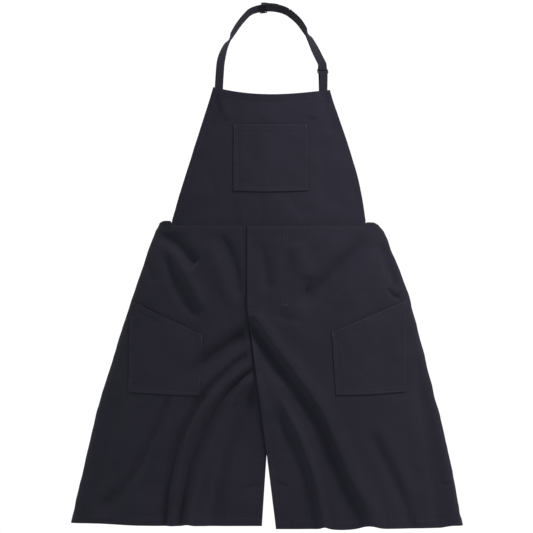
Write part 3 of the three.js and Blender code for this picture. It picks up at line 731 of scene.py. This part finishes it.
class Patch:
    """A pocket's outline on its panel, from its top left corner clockwise, and how far its edges sag."""

    def __init__(self, name, surface, corners, bow):
        self.name, self.surface, self.bow = name, surface, bow
        self.corners = np.array(corners)
        self.wide = np.linalg.norm(self.corners[1] - self.corners[0])
        self.tall = abs(self.corners[0][1] - self.corners[3][1])

    def place(self, u, v):
        """Place on the panel of a share u across the pocket and a share v down it."""
        c = self.corners
        x = mix(mix(c[0][0], c[1][0], u), mix(c[3][0], c[2][0], u), v)
        z = mix(mix(c[0][1], c[1][1], u), mix(c[3][1], c[2][1], u), v)
        return x, z - self.bow * np.sin(math.pi * u) * mix(0.4, 1.0, v)

    def on_side(self, u, v):
        """How far inside the nearest sewn edge a point is."""
        return np.minimum(np.minimum(u, 1 - u) * self.wide, (1 - v) * self.tall)

    def lift(self, u, v):
        """How far the back of the pocket stands off the back of its panel."""
        x, z = self.place(u, v)
        stand = POCKET_STAND * ease(0, 1, np.sin(math.pi * u)) * (1 - ease(0.05, 0.75, v))
        inside = self.on_side(u, v)
        hems = turned(inside, 0.008) + turned(v * self.tall, 0.014)
        from_side = np.minimum(u, 1 - u) * self.wide
        ripple = seam_pucker(z, from_side - 0.006, 0.00022, pitch=0.013, reach=0.008)
        ripple = ripple + seam_pucker(x, (1 - v) * self.tall - 0.006, 0.00022, pitch=0.013, reach=0.008)
        ripple = ripple + 0.0012 * crumple(x, z, 0.030, 47) * ease(0.004, 0.020, inside)
        return CLOTH + 0.0006 + stand + ripple * ease(0, 0.004, inside) + hem_relief(hems)

    def points(self, u, v, extra=0.0):
        x, z = self.place(u, v)
        return self.surface(x, z, self.lift(u, v) + extra)


def pocket(patch, rows, columns):
    """A pocket's patch and the hem inside its mouth. The patch is cut from another part of the cloth."""
    u, v = np.meshgrid(np.linspace(0, 1, columns), np.linspace(0, 1, rows))
    points = patch.points(u, v)
    worn = np.maximum(edge_wear(patch.on_side(u, v)), edge_wear(v * patch.tall))
    bag = cloth(f"{patch.name}_cloth", points, flat_lengths(points) + POCKET_CUT_AT, canvas, worn)
    mouth_down = np.linspace(0.012, 0.012 + 0.013 / patch.tall, 8)
    u, v = np.meshgrid(np.linspace(0.14, 0.86, columns // 2), mouth_down)
    points = patch.points(u, v, -0.0002 - CLOTH)
    mouth = cloth(f"{patch.name}_mouth_hem_cloth", points, flat_lengths(points), canvas)
    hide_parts(patch.name)
    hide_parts(f"{patch.name}_mouth_hem")
    return bag, mouth


chest_corners = ((-0.0795, -0.2735), (0.0885, -0.2735), (0.0900, -0.4265), (-0.0800, -0.4270))
left_corners = ((-0.318, -0.6790), (-0.1507, -0.7590), (-0.1587, -0.8975), (-0.3215, -0.8900))
right_corners = ((0.1447, -0.7520), (0.3160, -0.6790), (0.3140, -0.8900), (0.1548, -0.8970))
chest_patch = Patch("bib_pocket", bib_surface, chest_corners, 0.0025)
left_patch = Patch("left_hip_pocket", left_leg, left_corners, 0.0018)
right_patch = Patch("right_hip_pocket", right_leg, right_corners, 0.0018)
for piece in pocket(chest_patch, 110, 120):
    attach(piece, "upper")
for word, patch in (("left", left_patch), ("right", right_patch)):
    for piece in pocket(patch, 150, 120):
        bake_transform(piece)

# ---- neck strap ----
# One length of flat cotton webbing, 20 mm wide. It is sewn behind the bib's left corner, turns edge-on over
# the shoulder, passes through the slider at the nape, goes down through the ring and comes back up.
WEB_WIDTH = 0.020
WEB_THICK = 0.0014
NAPE_RADIUS = 0.064
NAPE_RISE = Vector((0.0, 0.8, 0.6))
NAPE_ACROSS = Vector((0.0, -0.6, 0.8))
NAPE_CENTRE = -NAPE_RADIUS * NAPE_RISE
NAPE_END = 0.80
LAYERS_APART = 0.0028
LEFT_STRAP_X = -0.115
RING_X = 0.127
SEWN_IN = 0.024
TAB_ON_ROLL = 0.2


def nape_point(angle, lift=0.0):
    """A point of the circle that the strap follows round the nape, lifted off its outer face."""
    reach = NAPE_RADIUS + lift
    return NAPE_CENTRE + Vector((reach * math.sin(angle), 0.0, 0.0)) + NAPE_RISE * (reach * math.cos(angle))


def nape_station(angle, lift=0.0):
    return nape_point(angle, lift), NAPE_ACROSS.copy()


class Corner:
    """The upright line where webbing is sewn behind a top corner. out is towards the front."""

    def __init__(self, x):
        self.base = Vector(on_front(x, BIB_TOP, 0.0))
        self.out = Vector(front_normal(np.float64(x), np.float64(BIB_TOP)))
        self.across = Vector((-self.out.y, self.out.x, 0.0))

    def at(self, out, z):
        return Vector((self.base.x + self.out.x * out, self.base.y + self.out.y * out, z))


def smooth_run(points, widths, count):
    """Evenly spaced stations on a smooth curve through given points, turning the width as they go."""
    chain = [2 * points[0] - points[1], *points, 2 * points[-1] - points[-2]]
    dense = []
    for a, b, c, d in zip(chain, chain[1:], chain[2:], chain[3:]):
        for k in range(24):
            t = k / 24
            dense.append(0.5 * ((2 * b) + (c - a) * t + (2 * a - 5 * b + 4 * c - d) * t**2
                                + (3 * b - 3 * c + d - a) * t**3))
    dense.append(points[-1])
    dense = np.array([tuple(p) for p in dense])
    travel = np.concatenate([[0], np.cumsum(np.linalg.norm(np.diff(dense, axis=0), axis=1))])
    stations = []
    for share in np.linspace(0, 1, count + 1):
        at = [np.interp(share * travel[-1], travel, dense[:, k]) for k in range(3)]
        step = share * (len(widths) - 1)
        k = min(len(widths) - 2, int(step))
        stations.append((Vector(at), widths[k].lerp(widths[k + 1], step - k).normalized()))
    return stations


def eased(stations, passes=6):
    """The stations with the joins between runs rounded off, so that the webbing bends and never kinks."""
    points = np.array([tuple(p) for p, _ in stations])
    widths = np.array([tuple(w) for _, w in stations])
    for _ in range(passes):
        points[1:-1] = 0.25 * points[:-2] + 0.5 * points[1:-1] + 0.25 * points[2:]
        widths[1:-1] = 0.25 * widths[:-2] + 0.5 * widths[1:-1] + 0.25 * widths[2:]
    return [(Vector(p), Vector(w).normalized()) for p, w in zip(points, widths)]


def webbing_strip(name, stations, material, start_length=0.0):
    """A flat woven ribbon with round selvedges through stations of place and width direction. start_length
    is how far along the roll it starts, for the weave."""
    points = np.array([tuple(p) for p, _ in stations])
    along = np.gradient(points, axis=0)
    along /= np.linalg.norm(along, axis=1, keepdims=True)
    wide = np.array([tuple(w) for _, w in stations])
    wide -= along * (wide * along).sum(1, keepdims=True)
    wide /= np.linalg.norm(wide, axis=1, keepdims=True)
    out = np.cross(wide, along)
    flat_half, thick_half = WEB_WIDTH / 2 - WEB_THICK / 2, WEB_THICK / 2
    outline = [(s * flat_half, thick_half) for s in np.linspace(-1, 1, 9)]
    outline += [(flat_half + thick_half * math.sin(a), thick_half * math.cos(a)) for a in (0.8, 1.57, 2.34)]
    outline += [(-s * flat_half, -thick_half) for s in np.linspace(-1, 1, 9)]
    outline += [(-flat_half - thick_half * math.sin(a), -thick_half * math.cos(a)) for a in (0.8, 1.57, 2.34)]
    travel = start_length + np.concatenate([[0], np.cumsum(np.linalg.norm(np.diff(points, axis=0), axis=1))])
    rows, ring = len(points), len(outline)
    verts = [points[i] + wide[i] * a + out[i] * b for i in range(rows) for a, b in outline]
    faces, uvs = [], []
    for i in range(rows - 1):
        for j in range(ring):
            k = (j + 1) % ring
            faces.append((i * ring + j, i * ring + k, (i + 1) * ring + k, (i + 1) * ring + j))
            uvs += [(outline[j][0], travel[i]), (outline[k][0], travel[i]), (outline[k][0], travel[i + 1]),
                    (outline[j][0], travel[i + 1])]
    for row, order in ((0, range(ring - 1, -1, -1)), (rows - 1, range(ring))):
        faces.append([row * ring + j for j in order])
        uvs += [(outline[j][0], travel[row]) for j in order]
    piece = mesh_object(name, verts, faces, material)
    uv = piece.data.uv_layers.new(name="cut")
    uv.data.foreach_set("uv", np.array(uvs).ravel())
    rubbed = piece.data.attributes.new("rubbed", "FLOAT", "POINT")
    worn = [max(0.0, abs(a) / (WEB_WIDTH / 2) - 0.85) / 0.15 for _ in range(rows) for a, _ in outline]
    rubbed.data.foreach_set("value", np.array(worn, np.float32))
    if mesh_volume(piece.data) < 0:
        piece.data.flip_normals()
    return piece


webbing = woven("navy_webbing", (0.0032, 0.0033, 0.0054), (0.0118, 0.0122, 0.0190),
                thread=0.0016, slant=1.0, rough=0.80, relief=0.0003)
left_corner, ring_corner = Corner(LEFT_STRAP_X), Corner(RING_X)
SEWN_OUT = -0.0020
SIDE_TURN = [Vector(w) for w in ((0.9, -0.3, 0.1), (0.4, -0.7, 0.5), (0.0, -0.7, 0.7))]
left_rise = smooth_run(
    [left_corner.at(SEWN_OUT, BIB_TOP - SEWN_IN), left_corner.at(SEWN_OUT, BIB_TOP + 0.006),
     left_corner.at(SEWN_OUT - 0.006, BIB_TOP + 0.038), Vector((-0.110, -0.134, -0.129)),
     Vector((-0.102, -0.102, -0.098)), Vector((-0.087, -0.067, -0.069)), Vector((-0.067, -0.037, -0.037)),
     nape_point(-NAPE_END)],
    [left_corner.across, left_corner.across, *SIDE_TURN, NAPE_ACROSS], 150)
ring_low, ring_high = (Vector(c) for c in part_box("strap_ring"))
RING_MIDDLE_Z = (ring_low.z + ring_high.z) / 2
BAR_RISE = 0.005
TOP_OUT, BOTTOM_OUT = -0.008, -0.004
BAR_TURN = 0.0039
BAR_REACH = 0.0052
from_right = -ring_corner.across
meet_z = RING_MIDDLE_Z + BAR_RISE + 0.011
right_fall = smooth_run(
    [nape_point(NAPE_END), Vector((0.069, -0.037, -0.033)), Vector((0.087, -0.064, -0.061)),
     Vector((0.101, -0.092, -0.088)), Vector((0.112, -0.119, -0.112)),
     ring_corner.at(TOP_OUT - LAYERS_APART / 2, meet_z)],
    [NAPE_ACROSS, Vector((0.0, -0.7, 0.7)), Vector((-0.4, -0.7, 0.5)), Vector((-0.9, -0.3, 0.1)), from_right],
    130)


def round_bar(out, z, opening):
    """Stations of a turn round one of the ring's bars, open upwards (+1) or downwards (-1)."""
    stations = []
    for angle in np.linspace(0, math.pi, 19):
        place = ring_corner.at(out - BAR_TURN * math.cos(angle), z - opening * BAR_REACH * math.sin(angle))
        stations.append((place, from_right.copy()))
    return stations


def lifted(stations, amount):
    """The same run moved off its outer face by an amount for each station."""
    points = np.array([tuple(p) for p, _ in stations])
    along = np.gradient(points, axis=0)
    moved = []
    for (place, width), direction, lift in zip(stations, along, amount):
        moved.append((place + width.cross(Vector(direction)).normalized() * lift, width))
    return moved


def straight(start, end, width, count=8):
    return [(start.lerp(end, k / count), width.copy()) for k in range(1, count)]


def quick_twist(stations):
    """The stations with a quicker turn where the webbing is edge-on to the front, as in a stiff strap."""
    points = np.array([tuple(p) for p, _ in stations])
    twisted = []
    for (place, width), direction in zip(stations, np.gradient(points, axis=0)):
        aside = Vector(direction).cross(Vector((0.0, 1.0, 0.0))).normalized()
        share = width.dot(aside)
        extra = 0.42 * math.tanh(share / 0.05) * math.exp(-(share / 0.7) ** 2)
        twisted.append((place, (width + aside * extra).normalized()))
    return twisted


over_nape = [nape_station(angle) for angle in np.linspace(-NAPE_END, NAPE_END, 81)]
long_run = quick_twist(eased(left_rise + over_nape[1:] + right_fall[1:], 40))
downward = long_run[-len(right_fall) + 1:]
bowed = np.sin(np.linspace(0, math.pi, len(downward))) ** 2
going_back = lifted(downward, LAYERS_APART + 0.0003 * bowed)[::-1]
turn_at_ring = round_bar(TOP_OUT, RING_MIDDLE_Z + BAR_RISE, 1)
whole_strap = long_run + straight(downward[-1][0], turn_at_ring[0][0], from_right)
whole_strap += turn_at_ring + straight(turn_at_ring[-1][0], going_back[0][0], from_right)
whole_strap += going_back
strap = webbing_strip("neck_strap", eased(whole_strap), webbing)
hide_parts("neck_strap_left", "neck_strap_to_ring", "neck_strap_return", "neck_strap_turn")
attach(strap, "upper")
strap_length = float(sum((b[0] - a[0]).length for a, b in zip(whole_strap, whole_strap[1:])))

# The strap's last stretch lies on the strap itself, goes round the slider's middle bar and is sewn back down.
SLIDER_AT = -0.19
MIDDLE_LIFT = 0.0047
END_TURN = 0.0028
SEWN_LIFT = LAYERS_APART + WEB_THICK + 0.0003

end_run = [nape_station(a, LAYERS_APART) for a in np.linspace(NAPE_END, 0.02, 40)]
middle_run = [nape_station(a, mix(LAYERS_APART, MIDDLE_LIFT - END_TURN, t))
              for a, t in zip(np.linspace(0.0, SLIDER_AT + 0.03, 14), np.linspace(0, 1, 14))]
bar_run = []
for a in np.linspace(0.1, math.pi - 0.1, 15):
    bar_angle = SLIDER_AT - END_TURN * math.sin(a) / NAPE_RADIUS
    bar_run.append(nape_station(bar_angle, MIDDLE_LIFT - END_TURN * math.cos(a)))
sewn_run = [nape_station(a, mix(MIDDLE_LIFT + END_TURN, SEWN_LIFT, t))
            for a, t in zip(np.linspace(SLIDER_AT + 0.03, 0.06, 14), ease(0, 1, np.linspace(0, 1, 14)))]
sewn_run += [nape_station(a, SEWN_LIFT) for a in np.linspace(0.08, 0.34, 10)]
strap_end_run = end_run + middle_run + bar_run + sewn_run
strap_end = webbing_strip("neck_strap_end", strap_end_run, webbing, strap_length)
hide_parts("neck_strap_end_loop")
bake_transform(strap_end)

# ---- ring tab ----
# A short loop of the same webbing. Both ends are sewn behind the bib's right corner; the ring hangs in it.
tab_back = SEWN_OUT - WEB_THICK - 0.0012
low_turn = round_bar(BOTTOM_OUT, RING_MIDDLE_Z - BAR_RISE, -1)
sewn_heights = np.linspace(BIB_TOP - SEWN_IN, BIB_TOP, 10)
tab_stations = [(ring_corner.at(tab_back, z), from_right.copy()) for z in sewn_heights]
tab_stations += straight(ring_corner.at(tab_back, BIB_TOP), low_turn[0][0], from_right, 14)
tab_stations += low_turn + straight(low_turn[-1][0], ring_corner.at(SEWN_OUT, BIB_TOP), from_right, 14)
tab_stations += [(ring_corner.at(SEWN_OUT, z), from_right.copy()) for z in sewn_heights[::-1]]
tab = webbing_strip("ring_tab_webbing", eased(tab_stations), webbing, TAB_ON_ROLL)
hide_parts("ring_tab")
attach(tab, "upper")

# ---- ring and slider ----
# Both are moulded in one piece from black acetal for 20 mm webbing: a rounded rectangular ring, and a
# slider with two outer bars on the wearer's side of the strap and a middle bar that holds the strap's end.


def moulded(name, colour):
    """Satin black plastic with a fine moulded grain and faint flow marks that lighten it and vary its shine
    in patches.
    """
    n = Nodes(name)
    place = n.add("ShaderNodeTexCoord").outputs["Object"]
    grain = n.noise(place, 2600.0, 3.0, 0.6)
    flow = n.noise(place, 160.0, 3.0, 0.55)
    tone = n.maths("MULTIPLY_ADD", flow, 0.8, n.maths("MULTIPLY", grain, 0.25))
    lighter = tuple(1.8 * c for c in colour)
    n.join("Base Color", n.blend(tone, (*colour, 1.0), (*lighter, 1.0)))
    n.join("Roughness", n.maths("MULTIPLY_ADD", flow, 0.22, 0.42))
    n.shader.inputs["Specular IOR Level"].default_value = 0.18
    bump = n.add("ShaderNodeBump", {"Height": grain, "Strength": 0.35, "Distance": 0.00005})
    n.join("Normal", bump.outputs["Normal"])
    return n.material


black_plastic = moulded("black_plastic", (0.0020, 0.0020, 0.0026))


def bar_loop(name, centre, right, up, half_wide, half_tall, wire_across, wire_deep, corner):
    """A closed rounded rectangle of oval wire in the plane of right and up."""
    facing = right.cross(up).normalized()
    path, steps = [], 9
    for sx, sy, base in ((1, 1, 0.0), (-1, 1, 0.5), (-1, -1, 1.0), (1, -1, 1.5)):
        for k in range(steps):
            angle = math.pi * (base + 0.5 * k / (steps - 1))
            x = sx * (half_wide - corner) + corner * math.cos(angle)
            y = sy * (half_tall - corner) + corner * math.sin(angle)
            path.append((x, y))
    count, around = len(path), 14
    verts, faces = [], []
    for i, (x, y) in enumerate(path):
        before, after = Vector(path[i - 1]), Vector(path[(i + 1) % count])
        tangent = (after - before).normalized()
        outward = Vector((tangent.y, -tangent.x))
        for k in range(around):
            a = 2 * math.pi * k / around
            square = 0.82 + 0.18 * abs(math.sin(2 * a))
            shift = wire_across / 2 * math.cos(a) * square * 1.12
            deep = wire_deep / 2 * math.sin(a) * square * 1.12
            aside, above = x + outward.x * shift, y + outward.y * shift
            verts.append(centre + right * aside + up * above + facing * deep)
    for i in range(count):
        j = (i + 1) % count
        for k in range(around):
            m = (k + 1) % around
            faces.append((i * around + k, j * around + k, j * around + m, i * around + m))
    piece = mesh_object(name, verts, faces, black_plastic)
    if mesh_volume(piece.data) < 0:
        piece.data.flip_normals()
    return piece


ring_top = ring_corner.at(TOP_OUT, RING_MIDDLE_Z + BAR_RISE)
ring_bottom = ring_corner.at(BOTTOM_OUT, RING_MIDDLE_Z - BAR_RISE)
RING_HALF_WIDE = 0.0122
RING_WIRE = 0.0024
RING_CORNER = 0.0024
ring_up = (ring_top - ring_bottom).normalized()
ring = bar_loop("ring_moulding", (ring_top + ring_bottom) / 2, ring_corner.across, ring_up,
                RING_HALF_WIDE, BAR_RISE, RING_WIRE, RING_WIRE, RING_CORNER)
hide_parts("strap_ring")
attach(ring, "ring")

slider_out = (nape_point(SLIDER_AT) - NAPE_CENTRE).normalized()
slider_along = slider_out.cross(NAPE_ACROSS)
WALL_ASIDE = WEB_WIDTH / 2 + 0.0014
INSIDE_LIFT = -0.0023
slider = bar_loop("slider_moulding", nape_point(SLIDER_AT, INSIDE_LIFT - 0.0006), slider_along, NAPE_ACROSS,
                  0.0078, WALL_ASIDE, 0.0026, 0.0024, 0.0022)


def rounded_block(centre, sizes, soft=0.0006):
    """A soft-edged block, sized along the strap, off its face and across it."""
    block = bmesh.new()
    bmesh.ops.create_cube(block, size=1.0)
    for vertex in block.verts:
        x, y, z = (vertex.co[k] * sizes[k] for k in range(3))
        vertex.co = centre + slider_along * x + slider_out * y + NAPE_ACROSS * z
    bmesh.ops.bevel(block, geom=block.edges[:], offset=soft, segments=3, profile=0.5, affect="EDGES")
    block.normal_update()
    mesh = bpy.data.meshes.new("block")
    block.to_mesh(mesh)
    block.free()
    return mesh


wall_deep = MIDDLE_LIFT - INSIDE_LIFT + 0.0022
wall_lift = (MIDDLE_LIFT + INSIDE_LIFT) / 2 - 0.0002
middle_bar = (0.0024, 0.0022, 2 * WALL_ASIDE + 0.0008)
end_wall = (0.0092, wall_deep, 0.0018)
blocks = [rounded_block(nape_point(SLIDER_AT, MIDDLE_LIFT), middle_bar, 0.0008)]
for aside in (-WALL_ASIDE, WALL_ASIDE):
    blocks.append(rounded_block(nape_point(SLIDER_AT, wall_lift) + NAPE_ACROSS * aside, end_wall))
joined = bmesh.new()
joined.from_mesh(slider.data)
for block in blocks:
    joined.from_mesh(block)
    bpy.data.meshes.remove(block)
joined.to_mesh(slider.data)
joined.free()
slider.data.polygons.foreach_set("use_smooth", [True] * len(slider.data.polygons))
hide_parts("strap_slider")
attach(slider, "slider")

# ---- topstitching ----
# Tonal navy polyester thread, about eight stitches to 25 mm. One row runs beside every hem and below the
# waist seam. Pocket edges, the lap and the strap's and ring tab's sewn ends have two.
STITCH_PITCH = 0.0032
STITCH_LENGTH = 0.0026
STITCH_SEED = 7
STITCH_HALF_THICK = 0.085


def thread_material():
    """Twisted thread: fine slanting plies with a soft shine."""
    n = Nodes("navy_thread")
    place = n.add("ShaderNodeTexCoord").outputs["Object"]
    ply = n.add("ShaderNodeTexWave", {"Vector": place, "Scale": 900.0, "Distortion": 3.0}).outputs["Fac"]
    shade = n.noise(place, 55.0, 2.0)
    tone = n.maths("MULTIPLY_ADD", ply, 0.45, n.maths("MULTIPLY", shade, 0.6))
    n.join("Base Color", n.blend(tone, (0.0050, 0.0048, 0.0078, 1.0), (0.0210, 0.0200, 0.0290, 1.0)))
    n.shader.inputs["Roughness"].default_value = 0.6
    n.shader.inputs["Specular IOR Level"].default_value = 0.3
    bump = n.add("ShaderNodeBump", {"Height": ply, "Strength": 0.4, "Distance": 0.00008})
    n.join("Normal", bump.outputs["Normal"])
    return n.material


thread = thread_material()


def stitch_seed():
    """One stitch, 1 long: a short thread lying along X that dips into the cloth at both ends."""
    verts, faces, around = [], [], 6
    half = ((-0.5, 0.35, -0.12), (-0.3, 0.9, -0.02))
    sections = (*half, (0.0, 1.0, 0.02), *((-x, size, dip) for x, size, dip in reversed(half)))
    last = len(sections) - 1
    for x, size, dip in sections:
        thick = STITCH_HALF_THICK * size
        for k in range(around):
            a = 2 * math.pi * k / around
            verts.append((x, thick * math.cos(a), thick * math.sin(a) + dip))
    for i in range(last):
        for k in range(around):
            m = (k + 1) % around
            faces.append((i * around + k, i * around + m, (i + 1) * around + m, (i + 1) * around + k))
    faces += [tuple(range(around - 1, -1, -1)), tuple(last * around + k for k in range(around))]
    seed = mesh_object("stitch_seed", verts, faces, thread)
    if mesh_volume(seed.data) < 0:
        seed.data.flip_normals()
    return seed


seed = stitch_seed()


def stitch_tree():
    """Geometry Nodes: resample rows of thread to a pitch and set a stitch along each step."""
    tree = bpy.data.node_groups.new("stitch_rows", "GeometryNodeTree")
    sockets = {}
    tree.interface.new_socket("Geometry", in_out="INPUT", socket_type="NodeSocketGeometry")
    settings = (("Pitch", "NodeSocketFloat", STITCH_PITCH), ("Length", "NodeSocketFloat", STITCH_LENGTH),
                ("Seed", "NodeSocketInt", STITCH_SEED))
    for name, kind, value in settings:
        sockets[name] = tree.interface.new_socket(name, in_out="INPUT", socket_type=kind)
        sockets[name].default_value = value
    tree.interface.new_socket("Geometry", in_out="OUTPUT", socket_type="NodeSocketGeometry")
    node = tree.nodes.new
    link = tree.links.new
    start, end = node("NodeGroupInput"), node("NodeGroupOutput")
    curve = node("GeometryNodeMeshToCurve")
    resample = node("GeometryNodeResampleCurve")
    resample.mode = "LENGTH"
    tangent = node("GeometryNodeInputTangent")
    facing = node("GeometryNodeInputNamedAttribute")
    facing.data_type = "FLOAT_VECTOR"
    facing.inputs["Name"].default_value = "facing"
    along = node("FunctionNodeAlignRotationToVector")
    along.axis = "X"
    upright = node("FunctionNodeAlignRotationToVector")
    upright.axis = "Z"
    upright.pivot_axis = "X"
    chance = node("FunctionNodeRandomValue")
    chance.data_type = "FLOAT"
    chance.inputs["Min"].default_value = 0.9
    chance.inputs["Max"].default_value = 1.08
    scale = node("ShaderNodeMath")
    scale.operation = "MULTIPLY"
    shape = node("GeometryNodeObjectInfo")
    shape.inputs["Object"].default_value = seed
    instance = node("GeometryNodeInstanceOnPoints")
    realize = node("GeometryNodeRealizeInstances")
    paint = node("GeometryNodeSetMaterial")
    paint.inputs["Material"].default_value = thread
    link(start.outputs["Geometry"], curve.inputs["Mesh"])
    link(curve.outputs["Curve"], resample.inputs["Curve"])
    link(start.outputs["Pitch"], resample.inputs["Length"])
    link(resample.outputs["Curve"], instance.inputs["Points"])
    link(shape.outputs["Geometry"], instance.inputs["Instance"])
    link(tangent.outputs["Tangent"], along.inputs["Vector"])
    link(along.outputs["Rotation"], upright.inputs["Rotation"])
    link(facing.outputs["Attribute"], upright.inputs["Vector"])
    link(upright.outputs["Rotation"], instance.inputs["Rotation"])
    link(start.outputs["Seed"], chance.inputs["Seed"])
    link(chance.outputs[1], scale.inputs[0])
    link(start.outputs["Length"], scale.inputs[1])
    link(scale.outputs["Value"], instance.inputs["Scale"])
    link(instance.outputs["Instances"], realize.inputs["Geometry"])
    link(realize.outputs["Geometry"], paint.inputs["Geometry"])
    link(paint.outputs["Geometry"], end.inputs["Geometry"])
    return tree, {name: socket.identifier for name, socket in sockets.items()}


tree, inputs = stitch_tree()


def stitched(name, rows, pitch=STITCH_PITCH, length=STITCH_LENGTH):
    """Rows are (points, facings) along the seams; the result is one plain mesh of thread."""
    verts, edges, faces_out = [], [], []
    for points, facing in rows:
        first = len(verts)
        verts += [tuple(p) for p in points]
        faces_out += [tuple(f) for f in facing]
        edges += [(first + k, first + k + 1) for k in range(len(points) - 1)]
    mesh = bpy.data.meshes.new(f"{name}_rows")
    mesh.from_pydata(verts, edges, [])
    facings = mesh.attributes.new("facing", "FLOAT_VECTOR", "POINT")
    facings.data.foreach_set("vector", np.array(faces_out).ravel())
    rows_object = bpy.data.objects.new(f"{name}_rows", mesh)
    bpy.context.collection.objects.link(rows_object)
    modifier = rows_object.modifiers.new("stitches", "NODES")
    modifier.node_group = tree
    modifier[inputs["Pitch"]] = pitch
    modifier[inputs["Length"]] = length
    modifier[inputs["Seed"]] = STITCH_SEED
    depsgraph = bpy.context.evaluated_depsgraph_get()
    result = bpy.data.meshes.new_from_object(rows_object.evaluated_get(depsgraph))
    bpy.data.objects.remove(rows_object)
    result.name = name
    piece = bpy.data.objects.new(name, result)
    bpy.context.collection.objects.link(piece)
    return piece


def row(surface, x, z, lift):
    """One row of thread on a surface, from arrays of places along it."""
    x, z = np.broadcast_arrays(np.asarray(x, float), np.asarray(z, float))
    points = surface(x, z, lift)
    nearby = surface(x, z, lift + 0.001)
    return points, (nearby - points) / 0.001


ON_CLOTH = CLOTH + 0.00012
SIDE_ROW = 0.0085
TOP_ROW = 0.0125
WAIST_ROW = 0.0065
EDGE_ROW = 0.0100
LAP_ROWS = (0.0350, 0.0432)


def patch_rows(patch):
    """Twin rows down one side of a pocket, along its foot and up the other side, and two along its mouth."""
    paths = []
    for inset in POCKET_ROWS:
        u_in, v_in = inset / patch.wide, inset / patch.tall
        stops = ((u_in, 0.0), (u_in, 1 - v_in), (1 - u_in, 1 - v_in), (1 - u_in, 0.0))
        for (ua, va), (ub, vb) in zip(stops, stops[1:]):
            paths.append((np.linspace(ua, ub, 90), np.linspace(va, vb, 90)))
    for inset in MOUTH_ROWS:
        paths.append((np.linspace(0.01, 0.99, 110), np.full(110, inset / patch.tall)))
    rows = []
    for u, v in paths:
        points = patch.points(u, v, CLOTH + 0.0001)
        rows.append((points, (patch.points(u, v, CLOTH + 0.0011) - points) / 0.001))
    return rows


upper_rows = []
down = np.linspace(BIB_TOP - 0.002, WAIST_Z + 0.001, 260)
for side in (-1, 1):
    upper_rows.append(row(bib_surface, bib_edge(side, down) - side * SIDE_ROW, down, ON_CLOTH))
along_top = np.linspace(bib_edge(-1, BIB_TOP) + 0.004, bib_edge(1, BIB_TOP) - 0.004, 160)
upper_rows.append(row(bib_surface, along_top, scoop(along_top) - TOP_ROW, ON_CLOTH))
upper_rows += patch_rows(chest_patch)
for corner_x in (LEFT_STRAP_X + 0.001, RING_X + 0.001):
    for height in (0.0010, -0.0160):
        spread = np.linspace(corner_x - 0.0092, corner_x + 0.0092, 12)
        upper_rows.append(row(bib_surface, spread, BIB_TOP + height, ON_CLOTH))
upper_stitches = stitched("upper_stitching", upper_rows)
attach(upper_stitches, "upper")

for (word, side, surface), patch in zip(LEG_SIDES, (left_patch, right_patch)):
    rows = []
    waist_split = float(split_edge(side, WAIST_Z)) + side * 0.004
    waist_x = np.linspace(waist_split, side * float(back_edge(side, WAIST_Z)), 220)
    rows.append(row(surface, waist_x, waist_top(waist_x) - WAIST_ROW, ON_CLOTH))
    hem_x = np.linspace(float(split_edge(side, -1.17)), side * float(back_edge(side, -1.17)), 320)
    rows.append(row(surface, hem_x, hem_z(side, hem_x) + HEM - 0.002, ON_CLOTH))
    edge_down = np.linspace(WAIST_Z - 0.008, -1.185, 300)
    rows.append(row(surface, split_edge(side, edge_down) + side * EDGE_ROW, edge_down, ON_CLOTH))
    rows.append(row(surface, side * (back_edge(side, edge_down) - EDGE_ROW), edge_down, ON_CLOTH))
    if side > 0:
        rows.append(row(surface, split_edge(side, edge_down[:120]) + 0.0030, edge_down[:120], ON_CLOTH))
        lap_down = np.linspace(WAIST_Z - 0.008, PLACKET_FOOT, 80)
        for lap_x in LAP_ROWS:
            rows.append(row(surface, np.full(80, lap_x), lap_down, ON_CLOTH))
        rows.append(row(surface, np.linspace(-0.018, LAP_ROWS[1], 40), PLACKET_FOOT, ON_CLOTH))
    rows += patch_rows(patch)
    leg_stitches = stitched(f"{word}_leg_stitching", rows)
    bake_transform(leg_stitches)

# ---- bar tacks ----
# A close zigzag of the same thread, 8 mm long, locks each pocket mouth's ends and the foot of the placket.
TACK_LONG = 0.008
TACK_WIDE = 0.0024
TACK_POINTS = 26
TACK_LIFT = 2 * CLOTH + 0.0018


def tack(node, surface, x, z, lift, leg=None, upright=True):
    """The thread of one bar tack, on a leg or else on the upper body."""
    climb = np.linspace(-TACK_LONG / 2, TACK_LONG / 2, TACK_POINTS)
    swing = np.where(np.arange(TACK_POINTS) % 2, 1, -1) * TACK_WIDE / 2
    across, tall = (swing, climb) if upright else (climb, swing)
    zigzag = row(surface, x + across, z + tall, lift)
    piece = stitched(f"{node}_thread", [zigzag], pitch=0.0006, length=0.0017)
    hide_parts(node)
    if leg:
        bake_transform(piece)
    else:
        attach(piece, "upper")


for end, (x, z), inward in (("left", chest_patch.corners[0], 1), ("right", chest_patch.corners[1], -1)):
    tack(f"bib_pocket_{end}_tack", bib_surface, x + inward * 0.0025, z - 0.005, TACK_LIFT)
for (word, side, surface), patch in zip(LEG_SIDES, (left_patch, right_patch)):
    by_reach = sorted(patch.corners[:2], key=lambda place: abs(place[0]))
    for end, (x, z), inward in (("inner", by_reach[0], 1), ("outer", by_reach[1], -1)):
        tack(f"{word}_hip_pocket_{end}_tack", surface, x + side * inward * 0.0025, z - 0.006, TACK_LIFT,
             f"{word}_leg")
tack("placket_foot_tack", right_leg, 0.0392, PLACKET_FOOT + 0.001, CLOTH + 0.0003, "right_leg", upright=False)
bpy.data.objects.remove(seed)
